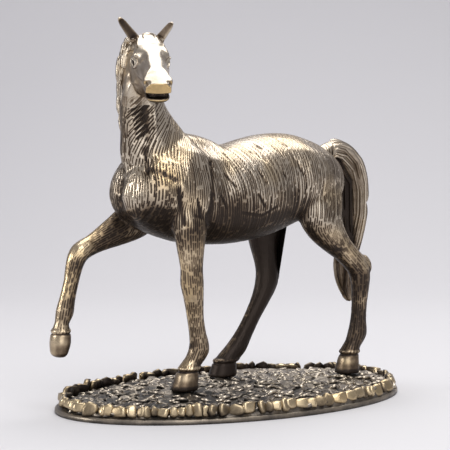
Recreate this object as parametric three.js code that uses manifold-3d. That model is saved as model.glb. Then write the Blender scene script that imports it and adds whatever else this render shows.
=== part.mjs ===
// A cast brass horse in a walk with one foreleg raised and its head turned left, on an oval rocky base.
// Millimetres, +Z up. The horse faces -X, and its left side faces -Y. The origin is the middle of the
// base's underside.
import * as THREE from 'three';
import { mergeVertices } from 'three/addons/utils/BufferGeometryUtils.js';
import Module from 'manifold-3d';

const wasm = await Module();
wasm.setup();

// Driving dimensions
const BASE_LENGTH = 200;
const BASE_WIDTH = 124;
const RIM_HEIGHT = 5;
const CROWN_HEIGHT = 10; // level of the ground under the standing hooves
const STAND_GAP = 0.3; // between a hoof and the base under it
const HOOF_HEIGHT = 9.5;
const HEAD_AT = [-56, -8.6, 187]; // the poll, between the ears
const HEAD_TURN = 64; // degrees to the horse's left
const HEAD_NOD = 27; // degrees below level
const MOUTH_DEPTH = 7.5;
const MOUTH_GAP = 1.2;

const LEFT = -1;
const RIGHT = 1;
const BOTH_SIDES = [LEFT, RIGHT];
const UP = new THREE.Vector3(0, 0, 1);

// Rows of a limb: x, distance out from the middle, z, then how far the section reaches forward,
// back and to each side.
const STANDING_FORELEG = [
  [-38.5, 14, 106, 11, 12, 7], // upper arm, inside the shoulder
  [-37.5, 16.6, 95, 9.6, 11, 6.8], // elbow
  [-36.8, 17, 82, 7.6, 7.8, 5.8], // forearm
  [-35.8, 16.6, 71.5, 6.2, 6, 5],
  [-35.2, 16.2, 64.5, 6.6, 6, 5.5], // knee
  [-34.2, 15.7, 57, 5.3, 5.4, 4.9],
  [-32.6, 15, 46, 4.5, 4.6, 3.7], // cannon
  [-31, 14.6, 37, 4.5, 5, 3.9],
  [-30.3, 14.2, 30.5, 5, 6.2, 4.8], // fetlock
  [-33.4, 14, 24.6, 4.4, 4.6, 4.4], // pastern
  [-36, 14, 20.4, 5.3, 5.3, 5.5], // coronet
  [-37.4, 14, 16.2, 4.6, 4.6, 4.9],
];
const RAISED_FORELEG = [
  [-38, 13.5, 106, 11, 11, 7.5],
  [-45, 16, 97.5, 11.5, 11.5, 7], // elbow
  [-55, 16.2, 91.6, 9.4, 9.4, 6.2],
  [-66, 15.7, 87, 6.6, 7, 5.2], // forearm
  [-75, 15.3, 83.2, 4.8, 5.6, 4.7],
  [-81.4, 15, 79.8, 5.2, 5.4, 5.1], // knee
  [-84.6, 14.7, 74, 4.8, 4.5, 4.5],
  [-87, 14.3, 65.5, 4, 4, 3.6], // cannon
  [-89.7, 14, 57, 3.9, 4.5, 3.7],
  [-91.5, 13.8, 50.5, 4.3, 5.1, 4.4], // fetlock
  [-93, 13.6, 45.2, 3.6, 3.8, 3.7], // pastern
  [-93.5, 13.5, 41, 4.8, 5, 5], // coronet
  [-93.7, 13.5, 38, 4.2, 4.2, 4.2],
];
const RAISED_HOOF = [
  [-93.5, 13.5, 41, 4.9, 4.9, 5.2],
  [-93.9, 13.5, 35.5, 5.3, 5.1, 5.9],
  [-94.3, 13.5, 30.4, 4.7, 3.6, 5.2],
];
const REAR_HINDLEG = [
  [45, 11, 120, 13, 12, 8], // hip
  [44.5, 14, 106, 14, 15.5, 9], // thigh
  [45, 16, 93, 11.4, 14, 8.6], // stifle
  [51, 16.6, 83.5, 8, 10.4, 7.2],
  [58.8, 16.2, 76.6, 6, 7.4, 5.8], // gaskin
  [66.2, 15.8, 70.6, 5.8, 6.6, 5],
  [71.6, 15.2, 65, 6.2, 6.8, 5.2], // hock
  [72.7, 15, 56.5, 4.9, 5.4, 4.8],
  [72.4, 14.8, 47, 4.3, 4.6, 3.8], // cannon
  [71.9, 14.5, 38, 4.3, 4.9, 3.9],
  [71.2, 14.3, 31.3, 4.8, 6, 4.7], // fetlock
  [68.7, 14, 25.4, 4.3, 4.5, 4.3], // pastern
  [66.6, 14, 20.8, 5.3, 5.3, 5.5], // coronet
  [65.7, 14, 16.4, 4.6, 4.6, 4.9],
];
const FORWARD_HINDLEG = [
  [44, 11, 120, 13, 12, 8], // hip
  [39, 14, 106, 14, 16, 9], // thigh
  [34, 16.6, 93, 12.6, 14.5, 8.8], // stifle
  [32.6, 17, 82.5, 9.2, 9.8, 7.3],
  [33, 16.6, 73.5, 6.9, 7.3, 5.9], // gaskin
  [33.6, 15.8, 66, 6.1, 6.7, 5.1],
  [33.4, 15.2, 59, 6.4, 7.1, 5.2], // hock
  [29.8, 15, 50.6, 5, 5.5, 4.8],
  [24.3, 14.6, 41.6, 4.4, 4.7, 3.8], // cannon
  [18.4, 14.3, 32.4, 4.4, 4.9, 3.9],
  [13.4, 14, 25.6, 4.9, 5.7, 4.7], // fetlock
  [9.2, 14, 21.4, 4.8, 5.1, 4.9], // pastern
  [6.4, 14, 18, 5.4, 5.8, 5.6], // coronet
  [5, 14, 15.2, 4.6, 4.8, 5],
];
// Standing hooves: side, the middle of the sole in x and out from the middle, the sole's reach
// forward and back, and how far back the coronet sits.
const STANDING_HOOVES = [
  { side: LEFT, x: -38.2, out: 14, fore: 7.6, aft: 6.3, rake: 1.9 },
  { side: LEFT, x: 65.2, out: 14, fore: 7, aft: 6.2, rake: 1.2 },
  { side: RIGHT, x: 4.2, out: 14, fore: 8, aft: 7.4, rake: 2 },
];
const SOLE_HALF_WIDTH = 6.5;

// The trunk, from breast to buttocks: x, top, bottom, half width.
const TRUNK = [
  [-63, 124.5, 103, 11],
  [-60, 129, 96.5, 15.8],
  [-53.5, 133.5, 90.5, 18.8],
  [-45, 137, 86.5, 20.6],
  [-35, 139, 84, 21.6],
  [-25, 137, 82.3, 22.6],
  [-14, 132.8, 81.2, 24.2],
  [-2, 132.4, 81.6, 25.6],
  [10, 135, 83.2, 25.8],
  [22, 137.4, 86.6, 24.8],
  [34, 137.3, 90, 23.4],
  [44, 134.4, 92.5, 21.6],
  [52, 131.4, 95, 18.6],
  [58, 127.5, 99.5, 14],
];
// Swells of the trunk, and hollows where the height is negative: x, distance out from the middle,
// z, the spread along x, y and z, and the height. Each lies on both sides.
const TRUNK_FORMS = [
  [-61, 10, 112, 7, 7.5, 14, 3], // breast
  [-66, 0, 106, 7, 3.2, 15, -2.4], // crease between the breasts
  [-53, 19, 107, 8, 8, 9, 3.4], // point of the shoulder
  [-43, 19, 117, 7, 9, 11, 2.6], // shoulder blade
  [-35, 16, 130, 6, 8, 9, 2],
  [-33, 21, 106, 8, 8, 10, 2.8], // back of the upper arm
  [-24, 15, 138, 12, 5.5, 8, -4.6], // beside the withers
  [-46, 20, 127, 4, 8, 8, -1.6], // in front of the shoulder blade
  [-19, 23, 117, 5, 10, 15, -1.8], // behind the shoulder
  [-24, 15, 85, 6, 9, 7, -2.2], // girth
  [40, 20, 117, 14, 9, 14, 3.6], // haunch
  [29, 18, 130, 5, 6, 5, 1.8], // point of the hip
  [24, 22, 113, 6, 8, 12, -2.4], // flank
  [46, 15, 134, 12, 6, 6, -1.4],
  [57, 11, 110, 8, 8, 15, 3.6], // buttock
  [62, 0, 106, 9, 2.8, 18, -3.4], // between the buttocks
];
const RIBS = { count: 5, from: -12, pitch: 7.4, at: [24, 106], spread: [1.9, 8, 13], height: 0.55 };
// The neck: x, y, z, reach forward, back and to each side, and how far it is turned to the left.
const NECK = [
  [-38.5, 0, 108, 20, 19, 16.5, 0],
  [-44.5, 0, 122, 20, 22, 15.2, 0],
  [-49.8, 0, 135, 16.4, 18.6, 12.6, 4],
  [-53.6, -0.2, 147, 13.8, 14.2, 10.6, 14],
  [-56.2, -1, 158, 12, 12.4, 9.4, 28],
  [-57, -2.4, 168, 11, 11.4, 8.7, 44],
  [-56.3, -4.1, 177, 9.3, 9.6, 7.9, 58],
  [-55.6, -6, 182, 7, 7.4, 6.6, 62],
];
// Along the neck, from 0 at the trunk to 1 at the poll, around it from the front towards one side in
// degrees, the spread, and the height.
const NECK_FORMS = [
  [0.3, 0, 5, 2.2], // windpipe
  [0.5, 0, 5, 2.2],
  [0.68, 0, 5, 2],
  [0.35, 48, 5, -1.5], // groove beside it
  [0.52, 48, 4.6, -1.5],
  [0.68, 50, 4.2, -1.3],
];
// The head: distance from the poll towards the lips, height of the face line and depth of the
// jaw line about it, half width, and how square the section is.
const HEAD = [
  [-3, -3, -13, 5.8, 2],
  [1, -0.4, -18, 7.3, 2],
  [7, 1.2, -23.5, 8.4, 2.2],
  [13, 1.5, -25.6, 8.7, 2.4],
  [19, 1.2, -23.4, 8, 2.4],
  [25.5, 0.9, -17.6, 6.6, 2.4],
  [33, 0.8, -13.6, 5.5, 2.6],
  [40, 1.2, -12.4, 6.2, 2.8],
  [45, 0.8, -12.4, 6.6, 2.8],
  [48.2, -0.8, -12, 6.2, 2.6],
];
// Swells of the head, on both sides: along the face, up from it, out from the middle, the spread
// each way, and the height.
const HEAD_FORMS = [
  [10, -16, 8.6, 8, 8, 5, 1.5], // cheek
  [14, -2.6, 7.4, 3.6, 2.6, 3, 2], // brow
  [21, -1.8, 6.6, 4, 2.6, 3, -0.9], // below the eye
  [27, -6.4, 6, 7, 1.9, 3, 0.9], // ridge of the cheekbone
  [28, -11.5, 6, 7, 2.6, 3, -0.8],
  [19, -21, 5, 4, 4, 4, 0.8], // edge of the jaw
];
// Ears: how far each tip is from its foot, in x, y and z.
const EAR_REACH = { right: [-7.6, 2.6, 10.6], left: [6.4, -2.9, 9.4] };

// The tail's middle line and section, from the dock to the tip, and the locks that lie round it. It is
// deep towards the buttocks, and joins them down to their lower edge.
const TAIL = [
  [55, 0, 124.5, 4, 6, 5],
  [64, 0, 129.2, 3.6, 8, 5.5],
  [72, 0.2, 128, 3.6, 10, 5.8],
  [80, 0.6, 121, 4, 18, 6],
  [84, 1.2, 109, 4, 23, 6.2],
  [84.6, 2.2, 95, 4, 24, 6.2],
  [82.8, 4.2, 80, 4.2, 12, 5.8],
  [79.8, 6.6, 66, 4.4, 6, 5],
  [80.4, 8, 56, 3, 3.4, 3.6],
  [85, 8.8, 45.5, 1.2, 1.4, 1.6],
];
const TAIL_FLUTES = { count: 6, depth: 0.2, twist: 1.6 };
const MANE_LOCKS = 9;

// Catmull-Rom through the rows, column by column.
function spread(rows, steps) {
  const out = [];
  const last = rows.length - 1;
  for (let k = 0; k < last; k++) {
    const [a, b, c, d] = [rows[Math.max(k - 1, 0)], rows[k], rows[k + 1], rows[Math.min(k + 2, last)]];
    for (let i = 0; i < steps; i++) {
      const t = i / steps;
      out.push(b.map((v, n) => v + 0.5 * t * (c[n] - a[n] + t * (2 * a[n] - 5 * v + 4 * c[n] - d[n]
        + t * (3 * (v - c[n]) + d[n] - a[n])))));
    }
  }
  out.push(rows[last]);
  return out;
}

// A closed solid from points and triangles, turned so that its faces look out, and then pushed out
// along its normals by the swells in `forms`.
function closedSolid(points, index, forms = []) {
  let volume = 0;
  for (let i = 0; i < index.length; i += 3) {
    const [a, b, c] = [0, 1, 2].map((n) => points[index[i + n]]);
    volume += a.dot(new THREE.Vector3().crossVectors(b, c));
  }
  if (volume < 0) {
    for (let i = 0; i < index.length; i += 3) [index[i + 1], index[i + 2]] = [index[i + 2], index[i + 1]];
  }
  const geometry = new THREE.BufferGeometry().setFromPoints(points).setIndex(index);
  if (forms.length) {
    geometry.computeVertexNormals();
    const normal = new THREE.Vector3();
    points.forEach((p, i) => {
      normal.fromBufferAttribute(geometry.attributes.normal, i);
      p.addScaledVector(normal, forms.reduce((sum, form) => sum + swell(p, form), 0));
    });
    geometry.setFromPoints(points);
  }
  return fromGeometry(geometry);
}

// The height of one swell at a point: a bell about its middle.
function swell(p, { at, size, height }) {
  const away = p.toArray().reduce((sum, v, n) => sum + ((v - at[n]) / size[n]) ** 2, 0);
  return height * Math.exp(-away);
}

function fromGeometry(geometry) {
  geometry.deleteAttribute('normal');
  geometry.deleteAttribute('uv');
  const merged = mergeVertices(geometry, 1e-4);
  return new wasm.Manifold(new wasm.Mesh({
    numProp: 3,
    vertProperties: merged.attributes.position.array,
    triVerts: new Uint32Array(merged.index.array),
  }));
}

// Triangles between two rings of points that may differ in count.
function band(from, fromCount, to, toCount) {
  const index = [];
  let [i, j] = [0, 0];
  while (i < fromCount || j < toCount) {
    const a = from + (i % fromCount);
    const b = to + (j % toCount);
    if (j >= toCount || (i < fromCount && (i + 0.5) / fromCount <= (j + 0.5) / toCount)) {
      i += 1;
      index.push(a, from + (i % fromCount), b);
    } else {
      j += 1;
      index.push(a, to + (j % toCount), b);
    }
  }
  return index;
}

// A closed skin over rings of points, with a fan over each end.
function skin(rings, forms) {
  const points = rings.flat();
  const starts = rings.map((_, k) => rings.slice(0, k).reduce((sum, ring) => sum + ring.length, 0));
  const index = [];
  for (let k = 0; k + 1 < rings.length; k++) {
    index.push(...band(starts[k], rings[k].length, starts[k + 1], rings[k + 1].length));
  }
  for (const [ring, start, swap] of [[rings[0], 0, true], [rings.at(-1), starts.at(-1), false]]) {
    const hub = points.length;
    points.push(ring.reduce((sum, p) => sum.add(p), new THREE.Vector3()).divideScalar(ring.length));
    ring.forEach((_, i) => {
      const next = start + ((i + 1) % ring.length);
      index.push(hub, ...(swap ? [next, start + i] : [start + i, next]));
    });
  }
  return closedSolid(points, index, forms);
}

// One section: an oval or rounded square about `at`, reaching `fore` and `aft` along `ahead`, and
// scaled by `ripple` at each angle round it.
function section(at, ahead, across, fore, aft, wide, square, sides, ripple = () => 1) {
  const bend = (v) => Math.sign(v) * Math.abs(v) ** (2 / square);
  return Array.from({ length: sides }, (_, i) => {
    const angle = (2 * Math.PI * i) / sides;
    const along = bend(Math.cos(angle));
    return at.clone()
      .addScaledVector(ahead, ripple(angle) * along * (along > 0 ? fore : aft))
      .addScaledVector(across, ripple(angle) * bend(Math.sin(angle)) * wide);
  });
}

// Stations along a smooth path through rows of x, y, z, fore, aft, wide and turn, each with its own
// directions. `facing` is where `fore` points for an unturned section.
function stationsOf(rows, steps, facing) {
  const smooth = spread(rows, steps);
  const place = (k) => new THREE.Vector3(...smooth[k].slice(0, 3));
  return smooth.map((row, k) => {
    const next = place(Math.min(k + 1, smooth.length - 1));
    const tangent = next.sub(place(Math.max(k - 1, 0))).normalize();
    const turn = THREE.MathUtils.degToRad(row[6] ?? 0);
    const across = new THREE.Vector3(0, 1, 0).applyAxisAngle(UP, turn);
    across.addScaledVector(tangent, -across.dot(tangent)).normalize();
    const ahead = new THREE.Vector3().crossVectors(across, tangent).normalize();
    if (ahead.dot(new THREE.Vector3(...facing).applyAxisAngle(UP, turn)) < 0) ahead.negate();
    return { at: place(k), tangent, ahead, across, fore: row[3], aft: row[4], wide: row[5] };
  });
}

// A limb: sections square to the path, with both ends domed, and flutes winding down it if any.
function limb(rows, {
  sides = 9, steps = 2, facing = [-1, 0, 0], dome = 0.5, square = 2, forms = [], flutes = null,
} = {}) {
  const stations = stationsOf(rows, steps, facing);
  const ringOf = (k, shrink, shift) => {
    const r = stations[k];
    const wind = flutes ? (flutes.twist * k) / stations.length : 0;
    const ripple = (angle) => 1 + flutes.depth * (Math.abs(Math.cos((flutes.count * angle) / 2 + wind)) - 1);
    return section(r.at.clone().addScaledVector(r.tangent, shift), r.ahead, r.across,
      r.fore * shrink, r.aft * shrink, r.wide * shrink, square, sides, flutes ? ripple : undefined);
  };
  const last = stations.length - 1;
  const cap = (k, sign) => [68, 36].map((degrees) => {
    const angle = THREE.MathUtils.degToRad(degrees);
    const bulge = dome * Math.min(stations[k].fore, stations[k].wide);
    return ringOf(k, Math.cos(angle), sign * bulge * Math.sin(angle));
  });
  return skin([...cap(0, -1), ...stations.map((_, k) => ringOf(k, 1, 0)), ...cap(last, 1).reverse()], forms);
}

// Rows given as distance out from the middle, put on one side of the horse.
const onSide = (side, rows) => rows.map(([x, out, ...rest]) => [x, side * out, ...rest]);

// An egg: middle, half sizes along x, y and z, and its lean in degrees.
function egg([x, y, z], [long, wide, high], lean = 0) {
  const shape = new THREE.SphereGeometry(1, 8, 6).scale(long, wide, high)
    .rotateY(THREE.MathUtils.degToRad(lean)).translate(x, y, z);
  return fromGeometry(shape);
}

// The trunk, with its muscles and ribs as swells of one skin.
function trunk() {
  const rows = TRUNK.map(([x, top, bottom, half]) => {
    const middle = (top + bottom) / 2;
    return [x, 0, middle, top - middle, middle - bottom, half];
  });
  const ribs = Array.from({ length: RIBS.count }, (_, k) => [
    RIBS.from + RIBS.pitch * k, ...RIBS.at, ...RIBS.spread, RIBS.height]);
  const forms = [...TRUNK_FORMS, ...ribs].flatMap(([x, out, z, sx, sy, sz, height]) => (
    (out ? BOTH_SIDES : [RIGHT]).map((side) => ({ at: [x, side * out, z], size: [sx, sy, sz], height }))));
  return limb(rows, { sides: 20, facing: [0, 0, 1], dome: 0.42, square: 2.15, forms });
}

// A place on the neck: how far along it from the trunk, the angle round from the front towards the
// right side in degrees, and how far out of its surface.
const neckStations = stationsOf(NECK, 4, [-1, 0, 0]);
function onNeck(along, degrees, out = 0) {
  const r = neckStations[Math.round(THREE.MathUtils.clamp(along, 0, 1) * (neckStations.length - 1))];
  const angle = THREE.MathUtils.degToRad(degrees);
  const reach = Math.cos(angle) > 0 ? r.fore : r.aft;
  return r.at.clone()
    .addScaledVector(r.ahead, Math.cos(angle) * (reach + out))
    .addScaledVector(r.across, Math.sin(angle) * (r.wide + out));
}

function neck() {
  const forms = NECK_FORMS.flatMap(([along, degrees, size, height]) => (
    (degrees ? BOTH_SIDES : [RIGHT]).map((side) => (
      { at: onNeck(along, side * degrees).toArray(), size: [size, size, 1.6 * size], height }))));
  return limb(NECK, { sides: 17, dome: 0.3, forms });
}

// The head's own frame: along the face, up out of it, and to the horse's right.
const headTurn = THREE.MathUtils.degToRad(HEAD_TURN);
const headNod = THREE.MathUtils.degToRad(HEAD_NOD);
const facingWay = new THREE.Vector3(-1, 0, 0).applyAxisAngle(UP, headTurn);
const headRight = new THREE.Vector3(0, 1, 0).applyAxisAngle(UP, headTurn);
const headAlong = facingWay.clone().multiplyScalar(Math.cos(headNod)).addScaledVector(UP, -Math.sin(headNod));
const headUp = facingWay.clone().multiplyScalar(Math.sin(headNod)).addScaledVector(UP, Math.cos(headNod));
const onHead = (along, up, right) => new THREE.Vector3(...HEAD_AT)
  .addScaledVector(headAlong, along).addScaledVector(headUp, up).addScaledVector(headRight, right);

// Puts a shape whose x, y and z run along the face, up out of it and to the right at a place on the head.
function setOnHead(geometry, along, up, right) {
  const frame = new THREE.Matrix4().makeBasis(headAlong, headUp, headRight);
  return fromGeometry(geometry.applyMatrix4(frame.setPosition(onHead(along, up, right))));
}

function skull() {
  const sides = 16;
  const rings = spread(HEAD, 2).map(([along, top, bottom, half, square]) => {
    const middle = (top + bottom) / 2;
    return section(onHead(along, middle, 0), headUp, headRight, top - middle, middle - bottom, half,
      square, sides);
  });
  const closing = (ring, sign) => {
    const hub = ring.reduce((sum, p) => sum.add(p), new THREE.Vector3()).divideScalar(sides);
    return ring.map((p) => p.clone().lerp(hub, 0.35).addScaledVector(headAlong, sign * 1.8));
  };
  const forms = HEAD_FORMS.flatMap(([along, up, out, ...rest]) => BOTH_SIDES.map((side) => (
    { at: onHead(along, up, side * out).toArray(), size: spreadInWorld(rest), height: rest[3] })));
  return skin([closing(rings[0], -1), ...rings, closing(rings.at(-1), 1)], forms);
}

// The head's axes lie askew to x, y and z, so a swell on it takes the mean of its spreads along each.
function spreadInWorld([long, high, wide]) {
  return ['x', 'y', 'z'].map((axis) => Math.hypot(
    long * headAlong[axis], high * headUp[axis], wide * headRight[axis]));
}

function head() {
  const lump = (along, up, right, sizes) => (
    setOnHead(new THREE.SphereGeometry(1, 8, 6).scale(...sizes), along, up, right));
  const features = BOTH_SIDES.flatMap((side) => [
    lump(15, -4.8, side * 7.1, [3, 2.2, 2.4]), // eye
    lump(43.4, -3.6, side * 5.2, [3.4, 2.6, 2.1]), // nostril
  ]);
  const mouth = setOnHead(new THREE.BoxGeometry(MOUTH_DEPTH, MOUTH_GAP, 4 * SOLE_HALF_WIDTH),
    51 - MOUTH_DEPTH / 2, -8.6, 0);
  return [skull(), ...features].reduce((a, b) => a.add(b)).subtract(mouth);
}

// An ear: a narrow leaf from the poll to its tip, hollowed towards the face.
function ear(side, reach) {
  const foot = onHead(0.8, -2.2, side * 5.4);
  const tip = foot.clone().add(new THREE.Vector3(...reach));
  const widths = [[-0.1, 1.9], [0.12, 2.6], [0.35, 2.95], [0.62, 2.5], [0.85, 1.4], [1, 0.5]];
  const leaf = (shift, scale) => limb(widths.map(([t, half]) => {
    const p = foot.clone().lerp(tip, t).addScaledVector(facingWay, shift);
    return [p.x, p.y, p.z, half * 0.75 * scale, half * 0.75 * scale, half * scale, HEAD_TURN];
  }), { sides: 8, steps: 1, dome: 0.5 });
  return leaf(0, 1).subtract(leaf(1.7, 0.72));
}

// Locks of the mane start along the crest and hang forward down the right side of the neck.
function maneLock(k) {
  const root = 0.98 - (0.76 * k) / (MANE_LOCKS - 1);
  const rows = [0, 0.25, 0.5, 0.75, 0.92, 1].map((s) => {
    const angle = 160 - 92 * s + 7 * Math.sin(4.4 * s + 1.9 * k);
    const p = onNeck(root - 0.22 * s * s - 0.02 * s, angle, 0.8 + 1.1 * Math.sin(Math.PI * s));
    const half = 3.6 * Math.sin(Math.PI * (0.24 + 0.66 * s));
    return [p.x, p.y, p.z, half, half, 2 * Math.sin(Math.PI * (0.25 + 0.6 * s)), HEAD_TURN * root];
  });
  return limb(rows, { sides: 5, steps: 1 });
}

function forelock() {
  const rows = [0, 0.35, 0.7, 1].map((s) => {
    const p = onHead(-2.5 + 12 * s, -1.2 + 2.2 * Math.sin(Math.PI * (0.25 + 0.5 * s)), 0);
    return [p.x, p.y, p.z, 1.6, 1.6, 4.2 - 2.6 * s * s, HEAD_TURN];
  });
  return limb(rows, { sides: 10, steps: 1, flutes: { count: 5, depth: 0.35, twist: 0 } });
}

function tail() {
  const sides = 3 * TAIL_FLUTES.count;
  return limb(TAIL, { sides, facing: [1, 0, 1], flutes: TAIL_FLUTES });
}

// A standing hoof: a rounded block, wider at the sole, raked back to the coronet.
function hoof({ side, x, out, fore, aft, rake }) {
  const sole = CROWN_HEIGHT + STAND_GAP;
  const outline = [[0, 0.97], [0.12, 1], [0.5, 0.9], [0.88, 0.82], [1, 0.7]];
  return skin(outline.map(([t, size]) => section(
    new THREE.Vector3(x + rake * t, side * out, sole + HOOF_HEIGHT * t),
    new THREE.Vector3(-1, 0, 0), new THREE.Vector3(0, 1, 0),
    fore * size, aft * size, SOLE_HALF_WIDTH * size, 2.2, 12)));
}

function horse() {
  const pieces = [
    trunk(),
    neck(),
    head(),
    ear(RIGHT, EAR_REACH.right),
    ear(LEFT, EAR_REACH.left),
    limb(onSide(LEFT, STANDING_FORELEG)),
    limb(onSide(RIGHT, RAISED_FORELEG)),
    limb(onSide(RIGHT, RAISED_HOOF), { sides: 12 }),
    limb(onSide(LEFT, REAR_HINDLEG), { sides: 10 }),
    limb(onSide(RIGHT, FORWARD_HINDLEG), { sides: 10 }),
    egg([75.4, LEFT * 15.2, 67.4], [4.2, 3.6, 6.4], -24), // points of the hocks
    egg([37.8, RIGHT * 15.2, 62], [3.8, 3, 5.2], -10),
    ...STANDING_HOOVES.map(hoof),
    ...Array.from({ length: MANE_LOCKS }, (_, k) => maneLock(k)),
    forelock(),
    tail(),
  ];
  return pieces.reduce((a, b) => a.add(b));
}

// The base
const TOP_RINGS = 10;
const STEP_AROUND = 7; // each ring has this many points fewer than the one outside it
const GROUND_RELIEF = 1.5;
const RIM_RELIEF = 0.012; // of the rim's radius
const PAD_RADIUS = 9; // level ground under each standing hoof
const PAD_FADE = 7;

// A repeatable number from 0 to 1 for two whole numbers.
function chance(i, j) {
  const s = Math.sin(i * 127.1 + j * 311.7) * 43758.5453;
  return s - Math.floor(s);
}

// The ground: a low swell, rougher away from the hooves, highest towards the horse's hindquarters.
function groundHeight(x, y, roughness) {
  const [along, across] = [x / (BASE_LENGTH / 2), y / (BASE_WIDTH / 2)];
  const rise = (CROWN_HEIGHT - RIM_HEIGHT) * (1 - along ** 2 - across ** 2);
  const wild = RIM_HEIGHT + rise + 1.1 * along - 0.6 * across + roughness;
  const clear = Math.min(...STANDING_HOOVES.map(({ side, x: hx, out }) => (
    Math.hypot(x - hx, y - side * out) - PAD_RADIUS)));
  return THREE.MathUtils.lerp(CROWN_HEIGHT, wild, THREE.MathUtils.smoothstep(clear, 0, PAD_FADE));
}

function base() {
  const rimCount = STEP_AROUND * TOP_RINGS;
  const ringAt = (share, count, heightAt, k) => Array.from({ length: count }, (_, i) => {
    const angle = (2 * Math.PI * (i + 0.5 * (k % 2))) / count;
    const notch = k > 1 ? 1 - RIM_RELIEF * chance(i, k) : 1;
    const x = share * notch * (BASE_LENGTH / 2) * Math.cos(angle);
    const y = share * notch * (BASE_WIDTH / 2) * Math.sin(angle);
    return new THREE.Vector3(x, y, heightAt(x, y, i));
  });
  const wall = [[0.99, 0], [1, 1.2], [1, 3.1]].map(([share, height], k) => (
    ringAt(share, rimCount, () => height, k)));
  const top = Array.from({ length: TOP_RINGS }, (_, k) => ringAt(0.985 * (1 - k / TOP_RINGS),
    STEP_AROUND * (TOP_RINGS - k), (x, y, i) => groundHeight(x, y, GROUND_RELIEF * (chance(i, k + 9) - 0.5)), k + 3));
  return skin([...wall, ...top]);
}

function asMesh(name, solid, material) {
  const { numProp, vertProperties, triVerts } = solid.getMesh();
  const places = new Float32Array((vertProperties.length / numProp) * 3);
  for (let i = 0; i < places.length / 3; i++) {
    places.set(vertProperties.subarray(i * numProp, i * numProp + 3), i * 3);
  }
  const geometry = new THREE.BufferGeometry()
    .setAttribute('position', new THREE.BufferAttribute(places, 3))
    .setIndex(new THREE.BufferAttribute(new Uint32Array(triVerts), 1));
  geometry.computeVertexNormals();
  const mesh = new THREE.Mesh(geometry, material);
  mesh.name = name;
  return mesh;
}

const agedBrass = new THREE.MeshStandardMaterial({ color: 0x8a7350, roughness: 0.38, metalness: 1 });
const darkBrass = new THREE.MeshStandardMaterial({ color: 0x6e5d43, roughness: 0.5, metalness: 1 });

const figurine = new THREE.Group();
figurine.name = 'horse_figurine';
figurine.add(asMesh('horse', horse(), agedBrass));
figurine.add(asMesh('base', base(), darkBrass));

export default figurine;
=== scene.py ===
import math
import random

import bmesh
import bpy
import numpy as np
from mathutils import Matrix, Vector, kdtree
from mathutils.bvhtree import BVHTree


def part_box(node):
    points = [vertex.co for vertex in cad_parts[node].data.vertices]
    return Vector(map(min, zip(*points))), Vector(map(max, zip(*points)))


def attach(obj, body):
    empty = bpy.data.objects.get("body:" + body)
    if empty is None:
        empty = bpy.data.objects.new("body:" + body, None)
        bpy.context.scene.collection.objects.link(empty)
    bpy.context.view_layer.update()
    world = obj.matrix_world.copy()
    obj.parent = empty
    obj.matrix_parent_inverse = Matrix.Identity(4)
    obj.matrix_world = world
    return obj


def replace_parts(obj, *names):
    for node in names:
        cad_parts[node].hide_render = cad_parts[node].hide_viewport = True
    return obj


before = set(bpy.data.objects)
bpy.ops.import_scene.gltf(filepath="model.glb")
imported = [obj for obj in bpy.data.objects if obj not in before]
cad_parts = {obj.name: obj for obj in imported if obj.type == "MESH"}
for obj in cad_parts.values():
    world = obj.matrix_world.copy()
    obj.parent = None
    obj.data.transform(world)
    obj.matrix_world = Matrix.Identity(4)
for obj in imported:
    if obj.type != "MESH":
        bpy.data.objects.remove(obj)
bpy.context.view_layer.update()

MM = 0.001
UP = np.array([0.0, 0.0, 1.0])

# The camera, in the photograph's frame
PHOTO_SIDE = 450
FOCAL_PIXELS = 1946.1
CAMERA_TURN = math.radians(-35)
CAMERA_RISE = math.radians(4.248)
CAMERA_AWAY = 1000.0
CAMERA_AIM = np.array([-2.72, 1.90, 90.68])
SENSOR = 36.0

# The head's frame, from the poll: along the face, up out of it, and to the horse's right
HEAD_AT = np.array([-56, -8.6, 187.0])
HEAD_TURN = math.radians(64)
HEAD_NOD = math.radians(27)
FACING = np.array([-math.cos(HEAD_TURN), -math.sin(HEAD_TURN), 0])
HEAD_RIGHT = np.array([-math.sin(HEAD_TURN), math.cos(HEAD_TURN), 0])
HEAD_ALONG = FACING * math.cos(HEAD_NOD) - UP * math.sin(HEAD_NOD)
HEAD_UP = FACING * math.sin(HEAD_NOD) + UP * math.cos(HEAD_NOD)

# Middle lines of the legs, from the top down to the hoof
LEG_LINES = [
    [(-38, -14, 106), (-37, -16.6, 86), (-35.5, -16.4, 68), (-32.6, -15, 46), (-30.3, -14.2, 31),
     (-37, -14, 16)],
    [(-38, 13.5, 106), (-55, 16.2, 91.6), (-75, 15.3, 83.2), (-83, 14.8, 77), (-89.7, 14, 57),
     (-93.5, 13.5, 40)],
    [(45, -11, 120), (45, -16, 93), (58.8, -16.2, 76.6), (71.6, -15.2, 65), (72.4, -14.8, 47),
     (71.2, -14.3, 31), (65.7, -14, 16)],
    [(44, 11, 120), (34, 16.6, 93), (33, 16.6, 73.5), (33.4, 15.2, 59), (24.3, 14.6, 41.6), (12, 14, 24),
     (5, 14, 15)],
]
# Hooves: the middle of each, the height of its coronet, and how far the hoof reaches
HOOVES = [(-37.4, -14, 20.2), (65.8, -14, 20.6), (5.2, 14, 17.6), (-93.8, 13.5, 40.5)]
HOOF_REACH = 11.0
TAIL_LINE = [(60, 0, 128), (66, 0, 129.4), (72, 0.2, 128), (80, 0.6, 121), (84, 1.2, 109), (84.6, 2.2, 95),
             (82.8, 4.2, 80), (79.8, 6.6, 66), (80.4, 8, 56), (85, 8.8, 45.5)]
# The middle of the tail's deep side, towards the buttocks
TAIL_INSIDE = [(66, 0, 118), (71, 0.4, 111), (72, 1.0, 100), (73, 2.0, 90), (75.5, 4.2, 80)]
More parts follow.
